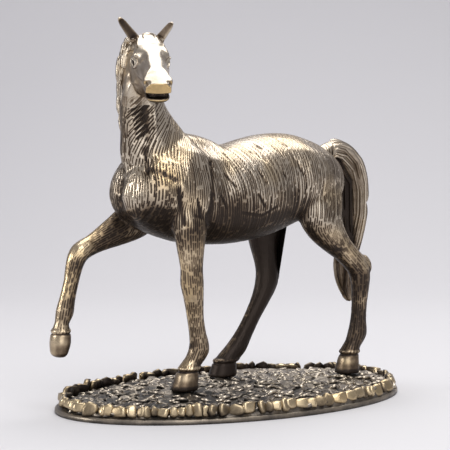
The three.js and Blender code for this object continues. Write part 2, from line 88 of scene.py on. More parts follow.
# The neck: x, y, z, reach forward, back and to each side, and how far it is turned to the left
NECK = [
    (-38.5, 0, 108, 20, 19, 16.5, 0),
    (-44.5, 0, 122, 20, 22, 15.2, 0),
    (-49.8, 0, 135, 16.4, 18.6, 12.6, 4),
    (-53.6, -0.2, 147, 13.8, 14.2, 10.6, 14),
    (-56.2, -1, 158, 12, 12.4, 9.4, 28),
    (-57, -2.4, 168, 11, 11.4, 8.7, 44),
    (-56.3, -4.1, 177, 9.3, 9.6, 7.9, 58),
    (-55.6, -6, 182, 7, 7.4, 6.6, 62),
]
MANE_LOCKS = 9
# The lower edge of the jaw, in the head's frame
JAW_ALONG = (-3, 1, 7, 13, 19, 25.5, 33, 50)
JAW_UP = (-15, -19, -24.5, -26.6, -24.4, -18.6, -14.6, -13.4)

# How the coat lies on the body, seen from the side: x, z and degrees from upright, rising backwards
COAT_LIE = [
    (-54, 160, 50), (-50, 148, 46), (-40, 134, 24), (-46, 114, 4), (-32, 118, -6), (-20, 126, -17),
    (-6, 124, -17), (10, 126, -15), (26, 128, -12), (-6, 100, -5), (15, 96, 2), (34, 120, -8),
    (46, 112, -2), (50, 96, 8), (38, 94, 3), (58, 110, 6),
]
VOXEL = 0.5
COAT_GAP = 1.2
COAT_STEP = 1.2
COAT_SEED = 11
LONG_HAIR = (7, 20)
SHORT_HAIR = (3, 6)
STROKE_WIDTH = 0.27
STROKE_DEPTH = 0.25
STROKE_DARK = 0.85
# Points over which the end of a stroke thins
STROKE_TAPER = 2.0


def smooth(value, low, high):
    """0 below low, 1 above high, eased between."""
    t = np.clip((value - low) / (high - low), 0, 1)
    return t * t * (3 - 2 * t)


def unit(vectors):
    """The same directions, each of length 1."""
    return vectors / np.maximum(np.linalg.norm(vectors, axis=-1, keepdims=True), 1e-9)


def on_head(along, up, right):
    """The place of a point given in the head's frame."""
    return HEAD_AT + HEAD_ALONG * along + HEAD_UP * up + HEAD_RIGHT * right


CAST_EARS = [(on_head(0.8, -1.0, 5.4), np.array([-7.6, 2.6, 10.6])),
             (on_head(0.8, -1.0, -5.4), np.array([6.4, -2.9, 9.4]))]


def in_head(points):
    """Along, up and right of points in the head's frame."""
    away = points - HEAD_AT
    return away @ HEAD_ALONG, away @ HEAD_UP, away @ HEAD_RIGHT


def on_neck(along, degrees, out=0.0):
    """A place on the neck: 0 at the trunk to 1 at the poll, round from the front towards the right."""
    at = np.clip(along, 0, 1) * (len(NECK) - 1)
    k = min(int(at), len(NECK) - 2)
    row = np.array(NECK[k]) * (k + 1 - at) + np.array(NECK[k + 1]) * (at - k)
    tangent = unit(np.array(NECK[k + 1][:3]) - np.array(NECK[k][:3]))
    turn = math.radians(row[6])
    across = np.array([-math.sin(turn), math.cos(turn), 0])
    across = unit(across - tangent * (across @ tangent))
    ahead = np.cross(across, tangent)
    if ahead @ np.array([-math.cos(turn), -math.sin(turn), 0]) < 0:
        ahead = -ahead
    angle = math.radians(degrees)
    reach = row[3] if math.cos(angle) > 0 else row[4]
    return row[:3] + ahead * math.cos(angle) * (reach + out) + across * math.sin(angle) * (row[5] + out)


def mane_line(k):
    """The middle line of one lock, from the crest forward and down the right side of the neck."""
    root = 0.98 - 0.76 * k / (MANE_LOCKS - 1)
    line = []
    for s in np.linspace(0, 1, 7):
        angle = 160 - 92 * s + 7 * math.sin(4.4 * s + 1.9 * k)
        line.append(on_neck(root - 0.22 * s * s - 0.02 * s, angle, 0.8 + 1.1 * math.sin(math.pi * s)))
    return line


# Meshes as arrays
def mesh_from(name, points, faces):
    """A mesh from points in millimetres and faces that all have the same number of corners."""
    corners = faces.shape[1]
    mesh = bpy.data.meshes.new(name)
    mesh.vertices.add(len(points))
    mesh.vertices.foreach_set("co", (points * MM).astype(np.float32).ravel())
    mesh.loops.add(faces.size)
    mesh.loops.foreach_set("vertex_index", faces.astype(np.int32).ravel())
    mesh.polygons.add(len(faces))
    mesh.polygons.foreach_set("loop_start", np.arange(0, faces.size, corners, dtype=np.int32))
    mesh.update(calc_edges=True)
    mesh.validate()
    mesh.shade_smooth()
    return mesh


def object_from(name, mesh):
    """An object in the scene for a mesh, a lamp or a camera."""
    piece = bpy.data.objects.new(name, mesh)
    bpy.context.scene.collection.objects.link(piece)
    return piece


def set_values(mesh, name, values):
    """A number on every point of a mesh."""
    mesh.attributes.new(name, "FLOAT", "POINT").data.foreach_set("value", values.astype(np.float32))


def points_of(mesh):
    """The points of a mesh, in millimetres."""
    flat = np.empty(len(mesh.vertices) * 3, np.float32)
    mesh.vertices.foreach_get("co", flat)
    return flat.reshape(-1, 3).astype(float) / MM


def faces_of(mesh, corners):
    """The faces of a mesh, all with the same number of corners, as point numbers."""
    flat = np.empty(len(mesh.loops), np.int32)
    mesh.loops.foreach_get("vertex_index", flat)
    return flat.reshape(-1, corners)


def finished(piece):
    """Every piece rides on the one body."""
    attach(piece, "root")
    return piece


def plain_copy(piece):
    """The evaluated mesh of an object, with no modifiers left on it."""
    ready = piece.evaluated_get(bpy.context.evaluated_depsgraph_get())
    return bpy.data.meshes.new_from_object(ready)


# The rounded skin
VALLEY = math.radians(-24)
RIDGE = math.radians(78)
PATCH = 4
MOST_BULGE = 0.16


def merged_copy(node):
    """The loose triangles of a node joined up, with creases marked where two forms meet."""
    work = bmesh.new()
    work.from_mesh(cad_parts[node].data)
    bmesh.ops.remove_doubles(work, verts=work.verts, dist=1e-6)
    bmesh.ops.triangulate(work, faces=work.faces)
    for face in work.faces:
        face.smooth = True
    for edge in work.edges:
        bend = edge.calc_face_angle_signed(0)
        edge.smooth = VALLEY < bend < RIDGE
    mesh = bpy.data.meshes.new(node + "_joined")
    work.to_mesh(mesh)
    work.free()
    return mesh


def rounded(mesh):
    """Each flat triangle becomes a curved patch that follows the normals at its corners."""
    points = points_of(mesh)
    faces = faces_of(mesh, 3)
    flat = np.empty(len(mesh.loops) * 3, np.float32)
    mesh.corner_normals.foreach_get("vector", flat)
    normal = flat.reshape(-1, 3, 3).astype(float)
    edge = np.empty(len(mesh.loops), np.int32)
    mesh.loops.foreach_get("edge_index", edge)
    sharp = np.array([e.use_edge_sharp for e in mesh.edges])[edge].reshape(-1, 3)
    corner = points[faces]

    def pulled(a, b, edge_at):
        """The control point near corner a on the way to corner b."""
        along = corner[:, b] - corner[:, a]
        rise = np.einsum("ij,ij->i", along, normal[:, a])
        limit = MOST_BULGE * np.linalg.norm(along, axis=1)
        rise = np.clip(rise, -limit, limit) * ~sharp[:, edge_at]
        return (2 * corner[:, a] + corner[:, b] - rise[:, None] * normal[:, a]) / 3

    near = {}
    for a, b, edge_at in ((0, 1, 0), (1, 2, 1), (2, 0, 2)):
        near[a, b] = pulled(a, b, edge_at)
        near[b, a] = pulled(b, a, edge_at)
    rim = sum(near.values()) / 6
    middle = rim + (rim - corner.mean(1)) / 2
    places = []
    spots = [(i, j) for i in range(PATCH + 1) for j in range(PATCH + 1 - i)]
    for i, j in spots:
        u, v = i / PATCH, j / PATCH
        w = 1 - u - v
        places.append(
            corner[:, 0] * w ** 3 + corner[:, 1] * u ** 3 + corner[:, 2] * v ** 3
            + 3 * (near[0, 1] * w * w * u + near[1, 0] * w * u * u + near[0, 2] * w * w * v
                   + near[1, 2] * u * u * v + near[2, 0] * w * v * v + near[2, 1] * u * v * v)
            + 6 * middle * u * v * w)
    number = {spot: k for k, spot in enumerate(spots)}
    small = []
    for i, j in spots:
        if i + j < PATCH:
            small.append((number[i, j], number[i + 1, j], number[i, j + 1]))
        if i + j < PATCH - 1:
            small.append((number[i + 1, j], number[i + 1, j + 1], number[i, j + 1]))
    places = np.stack(places, 1)
    starts = np.arange(len(faces)) * len(spots)
    return places.reshape(-1, 3), (starts[:, None, None] + np.array(small)[None]).reshape(-1, 3)


def remeshed(name, points, faces, voxel):
    """Quads of even size over the same form."""
    form = object_from(name, mesh_from(name, points, faces))
    change = form.modifiers.new("even", "REMESH")
    change.mode = "VOXEL"
    change.voxel_size = voxel * MM
    change.adaptivity = 0
    mesh = plain_copy(form)
    bpy.data.objects.remove(form)
    return points_of(mesh), faces_of(mesh, 4)


class Skin:
    """Points and quads with what is worked out from them."""

    def __init__(self, points, quads):
        self.points = points
        self.quads = quads
        pairs = np.concatenate([quads[:, [k, (k + 1) % 4]] for k in range(4)])
        pairs.sort(axis=1)
        number = pairs[:, 0].astype(np.int64) * len(points) + pairs[:, 1]
        keys, self.uses = np.unique(number, return_counts=True)
        self.edges = np.stack([keys // len(points), keys % len(points)], 1)
        self.degree = np.maximum(np.bincount(self.edges.ravel(), minlength=len(points)), 1)
        self.renew()

    def renew(self):
        """Normals again, after the points have moved."""
        corner = self.points[self.quads]
        facing = np.cross(corner[:, 2] - corner[:, 0], corner[:, 3] - corner[:, 1])
        corners = self.quads.ravel()
        total = [np.bincount(corners, np.repeat(facing[:, n], 4), len(self.points)) for n in range(3)]
        self.normal = unit(np.stack(total, 1))

    def mean(self, values):
        """For each point, the mean of its neighbours."""
        a, b = self.edges.T
        count = len(self.points)
        total = [np.bincount(a, column[b], count) + np.bincount(b, column[a], count) for column in values.T]
        return np.stack(total, 1) / self.degree[:, None]

    def soften(self, weight, rounds):
        """Moves each point towards the mean of its neighbours, by its weight."""
        for _ in range(rounds):
            self.points += weight[:, None] * (self.mean(self.points) - self.points)
        self.renew()

    def crest(self, rounds):
        """How far each point stands above its softened surroundings, in millimetres."""
        low = self.points.copy()
        for _ in range(rounds):
            low = self.mean(low)
        return np.einsum("ij,ij->i", self.points - low, self.normal)

    def push(self, amount):
        """Moves each point out along its normal."""
        self.points += self.normal * amount[:, None]
        self.renew()


def along_lines(points, lines):
    """Distance to the nearest of several lines of points, and the line's direction there."""
    best = np.full(len(points), 1e9)
    direction = np.zeros((len(points), 3))
    for line in lines:
        for a, b in zip(line[:-1], line[1:]):
            a, b = np.array(a, float), np.array(b, float)
            t = np.clip((points - a) @ (b - a) / ((b - a) @ (b - a)), 0, 1)
            away = np.linalg.norm(points - a - t[:, None] * (b - a), axis=1)
            nearer = away < best
            best[nearer] = away[nearer]
            direction[nearer] = unit(b - a)
    return best, direction


class Regions:
    """Where each part of the horse is, as masks from 0 to 1 over its points."""

    def __init__(self, points):
        along, up, right = in_head(points)
        jaw = np.interp(along, JAW_ALONG, JAW_UP)
        self.head = smooth(along, -1, 4) * (up > jaw) * (np.abs(right) < 14) * (along < 58)
        ears = [[root, root + reach] for root, reach in CAST_EARS]
        self.ear = 1 - smooth(along_lines(points, ears)[0], 3.2, 4.2)
        tail_away, self.tail_way = along_lines(points, [TAIL_LINE, TAIL_INSIDE])
        behind = smooth(points[:, 0], 62, 66) * (np.abs(points[:, 1]) < 10)
        self.tail = (1 - smooth(tail_away, 7.5, 9.5)) * behind
        inside_away, _ = along_lines(points, [TAIL_INSIDE])
        self.tail_inside = self.tail * (1 - smooth(inside_away, 5.5, 8))
        locks = [mane_line(k) for k in range(MANE_LOCKS)]
        mane_away, self.mane_way = along_lines(points, locks)
        self.mane = (1 - smooth(mane_away, 3.6, 4.6)) * (1 - self.head)
        self.leg_away, self.leg_way = along_lines(points, LEG_LINES)
        lower = 1 - smooth(points[:, 2], 84, 94)
        reached = (points[:, 0] < -50) & (points[:, 2] < 100) & (points[:, 1] > 0)
        reached = reached * smooth(-points[:, 0], 50, 60)
        self.leg = np.maximum(lower, reached) * (1 - smooth(self.leg_away, 11, 13))
        self.leg *= 1 - self.tail
        self.hoof = np.zeros(len(points))
        for x, y, top in HOOVES:
            away = np.hypot(points[:, 0] - x, points[:, 1] - y)
            under = 1 - smooth(points[:, 2], top - 0.6, top + 0.2)
            self.hoof = np.maximum(self.hoof, (away < HOOF_REACH) * under)
        poll = (along > -4) & (along < 13) & (up > -3.5) & (np.abs(right) < 4.6)
        self.forelock = poll * (1 - self.ear)
        self.muzzle = smooth(along, 34, 42) * self.head


# Where the photograph shows a mark on the body
TOWARDS_CAMERA = np.array([math.sin(CAMERA_TURN) * math.cos(CAMERA_RISE),
                           -math.cos(CAMERA_TURN) * math.cos(CAMERA_RISE), math.sin(CAMERA_RISE)])
CAMERA_RIGHT = np.array([math.cos(CAMERA_TURN), math.sin(CAMERA_TURN), 0])
CAMERA_UP = np.cross(TOWARDS_CAMERA, CAMERA_RIGHT)
CAMERA_AT = CAMERA_AIM + TOWARDS_CAMERA * CAMERA_AWAY


class Photo:
    """Finds the place on a skin that a pixel of the photograph shows."""

    def __init__(self, skin):
        self.tree = BVHTree.FromPolygons(skin.points.tolist(), skin.quads.tolist())

    def place(self, across, down):
        middle = PHOTO_SIDE / 2
        way = (CAMERA_RIGHT * (across - middle) - CAMERA_UP * (down - middle)) / FOCAL_PIXELS
        hit = self.tree.ray_cast(CAMERA_AT.tolist(), (way - TOWARDS_CAMERA).tolist())[0]
        return None if hit is None else np.array(hit)


def groove(points, start, end, width, depth):
    """A cut between two places that fades out at its ends. A negative depth gives a ridge."""
    if start is None or end is None:
        return np.zeros(len(points))
    amount = np.zeros(len(points))
    near = np.linalg.norm(points - (start + end) / 2, axis=1) < np.linalg.norm(end - start) / 2 + 3 * width
    local = points[near]
    t = np.clip((local - start) @ (end - start) / max((end - start) @ (end - start), 1e-9), 0, 1)
    away = np.linalg.norm(local - start - t[:, None] * (end - start), axis=1)
    fade = np.sin(np.pi * np.clip(0.12 + 0.76 * t, 0, 1)) ** 0.5
    amount[near] = -depth * np.exp(-(away / width) ** 2) * fade
    return amount


# Marks by their pixels in the photograph: the slashes chased across the barrel and haunch
BARREL_SLASHES = [
    ((224, 154), (244, 171)), ((248, 151), (266, 161)), ((269, 145), (284, 157)), ((253, 144), (262, 149)),
    ((278, 141), (287, 147)), ((225, 174), (236, 187)), ((258, 170), (267, 183)), ((279, 167), (286, 177)),
    ((294, 157), (304, 175)), ((259, 194), (265, 206)), ((222, 196), (227, 207)),
]
SLASH_WIDTH = 0.75
SLASH_DEPTH = 0.6
# Cuts across the throat, one below another
THROAT_CUTS = 9
THROAT_FIRST = (130.5, 102.0)
THROAT_PITCH = (0.85, 4.6)
THROAT_REACH = (10.0, -8.0)
THROAT_WIDTH = 0.62
THROAT_DEPTH = 0.95
CORONET_RISE = 0.45
CORONET_CUT = 0.5
# Folds of the neck and breast: start, end, width, depth
FOLDS = [
    ((145.5, 102), (147, 138), 2.0, 1.0), # the valley beside the windpipe
    ((154, 106), (156, 132), 0.8, -0.9), # its near edge
    ((145, 150), (148, 172), 1.8, 1.0), # between neck and shoulder
    ((146, 170), (148, 216), 1.5, 1.0), # beside the breast
    ((150, 158), (178, 166), 1.8, -0.7), # the ridge of the shoulder
    ((146, 168), (176, 180), 1.6, 0.8), # under it
    ((179, 190), (184, 224), 1.3, 0.9), # before the upper arm
    ((184, 186), (192, 226), 1.6, -0.6),
    ((198, 200), (202, 218), 1.0, 0.8), # in the upper arm
    ((190, 137), (211, 163), 1.2, 0.5), # behind the shoulder blade
    ((211, 163), (213, 196), 1.4, 0.8),
    ((213, 196), (207, 224), 1.6, 0.9),
    ((243, 213), (262, 216), 0.7, 0.4),
    ((262, 216), (278, 206), 0.7, 0.4),
    ((196, 216), (212, 226), 1.0, 0.4),
    ((316, 166), (324, 200), 1.8, 0.4), # the seam of the haunch
    ((322, 150), (333, 172), 1.6, 0.3),
]
# Forms set back or raised: pixel, reach, height
FORMS = [
    ((130, 184), 9, -1.3), ((114, 186), 9, -1.8), ((133, 208), 8, 0.5), ((124, 176), 4, 0.8),
    ((124, 187), 4, 1.0), ((124, 198), 4, 1.0), ((125, 209), 4, 0.8),
]
# Rubbed metal, painted highlights and painted shade: pixel, reach in millimetres, and how much
RUBBED_AND_LIT = [
    ((236, 155), 13, 0.34), ((262, 150), 14, 0.34), ((290, 150), 11, 0.26), ((168, 160), 8, 0.22),
    ((128, 175), 7, 0.35), ((134, 196), 7, 0.3), ((333, 190), 6, 0.3), ((318, 170), 13, 0.16),
    ((235, 146), 18, -0.1), ((245, 180), 20, 0.12), ((300, 165), 14, 0.1),
    ((45, 285), 26, -0.1), ((322, 205), 7, 0.2),
    ((78, 246), 6, 0.6), ((68, 285), 7, 0.32), ((64, 322), 6, 0.2), ((186, 262), 6, 0.3),
    ((184, 300), 7, 0.12),
    ((350, 256), 6, 0.3), ((338, 232), 6, 0.3), ((366, 262), 4, 0.35), ((364, 300), 4, 0.25),
    ((172, 122), 8, 0.22), ((189, 205), 6, 0.25),
    ((336, 141), 6, 0.35), ((158, 345), 6, 0.3), ((58, 345), 7, 0.4),
    ((158, 176), 6, -0.3), ((228, 212), 12, -0.34), ((250, 228), 13, -0.4), ((150, 214), 10, -0.4),
    ((147, 118), 4, -0.1),
    ((280, 222), 12, -0.4), ((196, 228), 9, -0.34), ((300, 214), 8, -0.2), ((125, 215), 9, -0.3),
    ((108, 218), 7, -0.3), ((142, 105), 5, -0.12), ((350, 330), 10, -0.2), ((196, 168), 7, -0.12),
]


def carve_body(skin, regions, photo):
    """The marks chased into the neck, barrel and haunch."""
    amount = np.zeros(len(skin.points))
    for start, end in BARREL_SLASHES:
        amount += groove(skin.points, photo.place(*start), photo.place(*end), SLASH_WIDTH, SLASH_DEPTH)
    for k in range(THROAT_CUTS):
        start = np.array(THROAT_FIRST) + np.array(THROAT_PITCH) * k
        end = start + THROAT_REACH
        amount += groove(skin.points, photo.place(*start), photo.place(*end), THROAT_WIDTH, THROAT_DEPTH)
    for start, end, width, depth in FOLDS:
        amount += groove(skin.points, photo.place(*start), photo.place(*end), width, depth)
    cuts = amount.copy()
    for pixel, reach, height in FORMS:
        amount += height * np.exp(-(((skin.points - photo.place(*pixel)) / reach) ** 2).sum(1))
    for x, y, top in HOOVES:
        away = np.hypot(skin.points[:, 0] - x, skin.points[:, 1] - y)
        height = skin.points[:, 2] - top
        near = (away < HOOF_REACH + 1) * (np.abs(height) < 6)
        coronet = CORONET_RISE * np.exp(-((height - 1.1) / 0.8) ** 2)
        amount += near * (coronet - CORONET_CUT * np.exp(-((height + 0.3) / 0.5) ** 2))
    skin.push(amount * (1 - regions.head))
    return cuts


# Places on the head, in its frame: along and up
EYE = (15.3, -7.0)
EYE_REACH = (3.2, 2.1)
NOSTRIL = (47.0, -2.8)
MOUTH_LEVEL = -8.5
FRONT_OF_NOSE = 49.3
CROWN = (-3, 3, 0)
# Ears: which side, how the tip lies from the root, and how far the hollow turns outwards
EARS = [(6.2, np.array([-8.4, 2.9, 10.1]), 0.3), (-5.4, np.array([6.4, -2.9, 7.9]), -0.55)]
EAR_HALF_WIDTH = 1.8
EAR_ROWS = 25
EAR_SIDES = 28


def ring(along, up, at, reach):
    """How far out a point is on an oval about a place on the side of the head: 1 on the oval."""
    return np.hypot((along - at[0]) / reach[0], (up - at[1]) / reach[1])


def flatten_poll(skin):
    """The top of the head lies flat between the ears."""
    along, up, right = in_head(skin.points)
    area = 1 - smooth(np.abs(right), 6.5, 9)
    area = area * smooth(along, -4, -2) * (1 - smooth(along, 9, 15)) * (up > -4)
    level = np.interp(along, [-4, 0, 6, 12], [-0.9, -0.2, 0.4, 0.8]) - 0.02 * right ** 2
    rise = smooth(skin.normal @ HEAD_UP, -0.2, 0.3) * area * (level - up)
    skin.points += np.clip(rise, -2.4, 2.4)[:, None] * HEAD_UP
    skin.soften(0.5 * smooth(area, 0, 0.4), 30)


def carve_head(skin):
    """Eyes with their lids, nostrils, the crest of the cheek, and the line of the mouth."""
    along, up, right = in_head(skin.points)
    side = np.abs(right)
    out = smooth(np.abs(skin.normal @ HEAD_RIGHT), 0.25, 0.6)
    amount = np.zeros(len(skin.points))
    outer = smooth(side, 4.0, 5.5)
    # The bridge of the nose runs straight to a flat front
    over = smooth(skin.normal @ HEAD_UP, 0.1, 0.6) * smooth(along, 32, 42)
    bridge = 1.0 - 0.2 * (along - 36) - 0.03 * right ** 2
    lower = over * np.clip(bridge - up, -2.2, 0)
    before = smooth(skin.normal @ HEAD_ALONG, 0.3, 0.7) * (up > MOUTH_LEVEL + 0.8) * (along > 44)
    front = FRONT_OF_NOSE - 0.03 * right ** 2
    shorter = before * np.clip(front - along, -1.6, 0)
    skin.points += lower[:, None] * HEAD_UP + shorter[:, None] * HEAD_ALONG
    skin.soften(0.4 * smooth(along, 36, 39), 3)
    along, up, right = in_head(skin.points)
    side = np.abs(right)
    # The eye: a ball in a hollow, between an upper and a lower lid, under a brow
    eye = ring(along, up, EYE, EYE_REACH)
    ball = ring(along, up, EYE, (1.7, 1.2))
    amount += outer * (0.55 * np.exp(-((eye - 1.02) / 0.2) ** 2) - 0.8 * np.exp(-((eye - 0.68) / 0.16) ** 2)
                       + 0.35 * np.exp(-ball ** 2) - 0.3 * np.exp(-((eye - 1.45) / 0.2) ** 2))
    brow = ring(along, up, (15.8, -2.6), (2.6, 1.2))
    amount += outer * 0.6 * np.exp(-brow ** 2)
    tear = np.hypot((along - 19.2) / 1.6, (up + 8.4) / 0.7)
    amount -= outer * 0.3 * np.exp(-tear ** 2)
    # Nostrils
    nostril = ring(along, up, NOSTRIL, (1.5, 1.2))
    flare = 0.12 * np.exp(-((nostril - 1.25) / 0.3) ** 2)
    amount += smooth(side, 3.2, 4.4) * (flare - 0.7 * np.exp(-nostril ** 4))
    # The cheek's crest, and the hollow above and under it
    crest = np.hypot((along - 25.0) / 6.0, (up + 9.6) / 0.9)
    amount += out * 0.35 * np.exp(-crest ** 2)
    knob = np.hypot((along - 20.5) / 1.7, (up + 15.2) / 1.3)
    amount += out * 0.7 * np.exp(-knob ** 2)
    hollow = np.hypot((along - 28) / 6, (up + 11.8) / 1.4)
    amount -= out * 0.4 * np.exp(-hollow ** 2)
    jaw = np.abs(np.hypot(along - 9.5, up + 14.5) - 10.2)
    amount -= out * 0.5 * np.exp(-(jaw / 0.9) ** 2) * (along < 14)
    # The mouth: open in front, and a line back along the lips
    ahead = smooth(along, 42.5, 45.5)
    amount -= ahead * 1.5 * np.exp(-((up - MOUTH_LEVEL) / 1.15) ** 4)
    amount += ahead * 0.35 * (up < MOUTH_LEVEL) * smooth(np.abs(up - MOUTH_LEVEL), 1.0, 1.8)
    line = np.hypot(np.clip(np.abs(along - 41.0) - 4.0, 0, None), up - MOUTH_LEVEL - 0.15 * (along - 46.0))
    amount -= out * 0.6 * np.exp(-(line / 0.6) ** 2)
    amount -= 0.1 * forelock_lines(along, up, right)
    skin.push(amount)


def forelock_lines(along, up, right):
    """Lines of the forelock, running down from between the ears."""
    lines = 0
    for k in range(-4, 5):
        spread = np.abs(right - k * (0.75 + 0.03 * along) - 0.3 * np.sin(0.7 * along + k))
        lines = np.maximum(lines, np.exp(-(spread / 0.26) ** 2))
    return lines * smooth(up, -3, -1) * (1 - smooth(np.abs(along - 4), 3, 7))


def ear_shells(skin):
    """Draws the blunt ears in to cores, and gives smooth closed shells with hollow fronts over them."""
    points, faces, wear_and_light_parts = [], [], []
    rows = np.linspace(0, 1, EAR_ROWS)
    turns = np.arange(EAR_SIDES) * 2 * math.pi / EAR_SIDES
    first = 0
    for sideways, reach, opening in EARS:
        root = on_head(0.8, -2.4, sideways)
        reach = reach + 1.4 * HEAD_UP
        length = np.linalg.norm(reach)
        way = reach / length
        front = FACING + HEAD_RIGHT * opening
        front = unit(front - way * (front @ way))
        across = np.cross(front, way)
        cast_root, cast_reach = CAST_EARS[0 if sideways > 0 else 1]
        away, _ = along_lines(skin.points, [[cast_root, cast_root + cast_reach]])
        t = np.clip((skin.points - cast_root) @ cast_reach / (cast_reach @ cast_reach), 0, 1.05)
        core = (1 - smooth(away, 3.2, 4.2)) * smooth(t, 0.06, 0.25)
        off_axis = skin.points - cast_root - t[:, None] * cast_reach
        shrunk = root + (0.02 + 0.08 * t)[:, None] * reach + 0.3 * off_axis
        skin.points += core[:, None] * (shrunk - skin.points)
        blunt = np.sqrt(np.clip(1 - (np.clip(rows - 0.72, 0, None) / 0.28) ** 2, 0, 1))
        width = EAR_HALF_WIDTH * (1.45 - 0.62 * rows) * blunt
        hollow = smooth(rows, 0.02, 0.2) * (1 - smooth(rows, 0.86, 0.98))
        cos, sin = np.cos(turns)[None], np.sin(turns)[None]
        dish = np.where(sin > 0, sin * (1 - 1.5 * hollow[:, None]), sin)
        rise = (0.97 * rows * length)[:, None, None] * way
        spread = (width[:, None] * cos)[..., None] * across
        shell = root + rise + spread + (0.85 * width[:, None] * dish)[..., None] * front
        points.append(shell.reshape(-1, 3))
        shade = 0.46 if sideways > 0 else 0.3
        wear_and_light = 0.62 - shade * hollow[:, None] * smooth(sin, 0.3, 0.95)
        wear_and_light = wear_and_light + 0.2 * smooth(rows, 0.8, 1)[:, None]
        wear_and_light -= 0.3 * (1 - smooth(rows, 0.05, 0.3)[:, None])
        wear_and_light_parts.append(wear_and_light.ravel())
        number = first + np.arange(EAR_ROWS * EAR_SIDES).reshape(EAR_ROWS, EAR_SIDES)
        following = np.roll(number, -1, axis=1)
        quads = np.stack([number[:-1], following[:-1], following[1:], number[1:]], -1).reshape(-1, 4)
        first += number.size
        centre = first
        points.append(np.stack([shell[0].mean(0), shell[-1].mean(0)]))
        wear_and_light_parts.append(np.array([0.5, 0.8]))
        low = np.stack([following[0], number[0], np.full(EAR_SIDES, centre)], 1)
        high = np.stack([number[-1], following[-1], np.full(EAR_SIDES, centre + 1)], 1)
        faces += [quads[:, [0, 1, 2]], quads[:, [0, 2, 3]], low, high]
        first += 2
    skin.renew()
    return np.concatenate(points), np.concatenate(faces), np.concatenate(wear_and_light_parts)


def halved(points, quads):
    """Each quad cut into four."""
    pairs = np.stack([quads, np.roll(quads, -1, axis=1)], 2).reshape(-1, 2)
    key = np.sort(pairs, axis=1)
    unique, back = np.unique(key[:, 0].astype(np.int64) * len(points) + key[:, 1], return_inverse=True)
    mids = (points[unique // len(points)] + points[unique % len(points)]) / 2
    centres = points[quads].mean(1)
    mid = back.reshape(-1, 4) + len(points)
    centre = np.arange(len(quads)) + len(points) + len(mids)
    cut = [np.stack([quads[:, k], mid[:, k], centre, mid[:, k - 1]], 1) for k in range(4)]
    return np.concatenate([points, mids, centres]), np.concatenate(cut)


def closed_part(skin, chosen, values):
    """The chosen quads of a skin as triangles, with each open end filled by a fan, and their values."""
    quads = skin.quads[chosen]
    used, back = np.unique(quads, return_inverse=True)
    quads = back.reshape(-1, 4)
    points = skin.points[used]
    values = {name: column[used] for name, column in values.items()}
    ways = np.concatenate([quads[:, [k, (k + 1) % 4]] for k in range(4)])
    forward = set(map(tuple, ways.tolist()))
    rim = {}
    for a, b in forward:
        if (b, a) not in forward:
            rim.setdefault(b, []).append(a)
    faces = [quads[:, [0, 1, 2]], quads[:, [0, 2, 3]]]
    extra = []
    fans = []
    on_rim = np.zeros(len(points), bool)
    on_rim[list(rim)] = True
    while rim:
        start = next(iter(rim))
        loop = [start]
        while True:
            last = loop[-1]
            following = rim[last].pop()
            if not rim[last]:
                del rim[last]
            if following == start:
                break
            loop.append(following)
        hub = len(points) + len(extra)
        extra.append(points[loop].mean(0))
        fans += [(a, b, hub) for a, b in zip(loop, loop[1:] + loop[:1])]
    if extra:
        points = np.concatenate([points, extra])
        values = {name: np.append(column, np.zeros(len(extra))) for name, column in values.items()}
        faces.append(np.array(fans))
        on_rim = np.append(on_rim, np.zeros(len(extra), bool))
    return points, np.concatenate(faces), values, on_rim


# Chased hair: lines over the skin
def coat_direction(skin, regions):
    """The way the hair lies at every point, along the surface."""
    x, z = skin.points[:, 0], skin.points[:, 2]
    total = np.zeros(len(x))
    share = np.zeros(len(x))
    for at_x, at_z, degrees in COAT_LIE:
        weight = 1 / ((x - at_x) ** 2 + (z - at_z) ** 2 + 60) ** 2
        total += weight * degrees
        share += weight
    angle = np.radians(total / share)
    normal = skin.normal
    back = np.array([1.0, 0, 0])
    backward = unit(back - normal * (normal @ back)[:, None])
    round_it = np.cross(normal, backward) * np.where(normal[:, 1] > 0, -1, 1)[:, None]
    upright = unit(UP - normal * normal[:, 2:3])
    ends_on = smooth(np.abs(normal[:, 0]), 0.55, 0.9)[:, None]
    rising = unit(round_it * (1 - ends_on) + upright * ends_on)
    lie = rising * np.cos(angle)[:, None] + backward * np.sin(angle)[:, None] * (1 - ends_on)
    for mask, way in ((regions.leg, regions.leg_way), (regions.tail, regions.tail_way),
                      (regions.mane, regions.mane_way)):
        agree = np.where(np.einsum("ij,ij->i", lie, way) < 0, -1, 1)[:, None]
        lie = lie * (1 - mask[:, None]) + way * agree * mask[:, None]
    lie = np.where(regions.head[:, None] > 0.5, HEAD_ALONG, lie)
    return unit(lie - normal * np.einsum("ij,ij->i", lie, normal)[:, None])


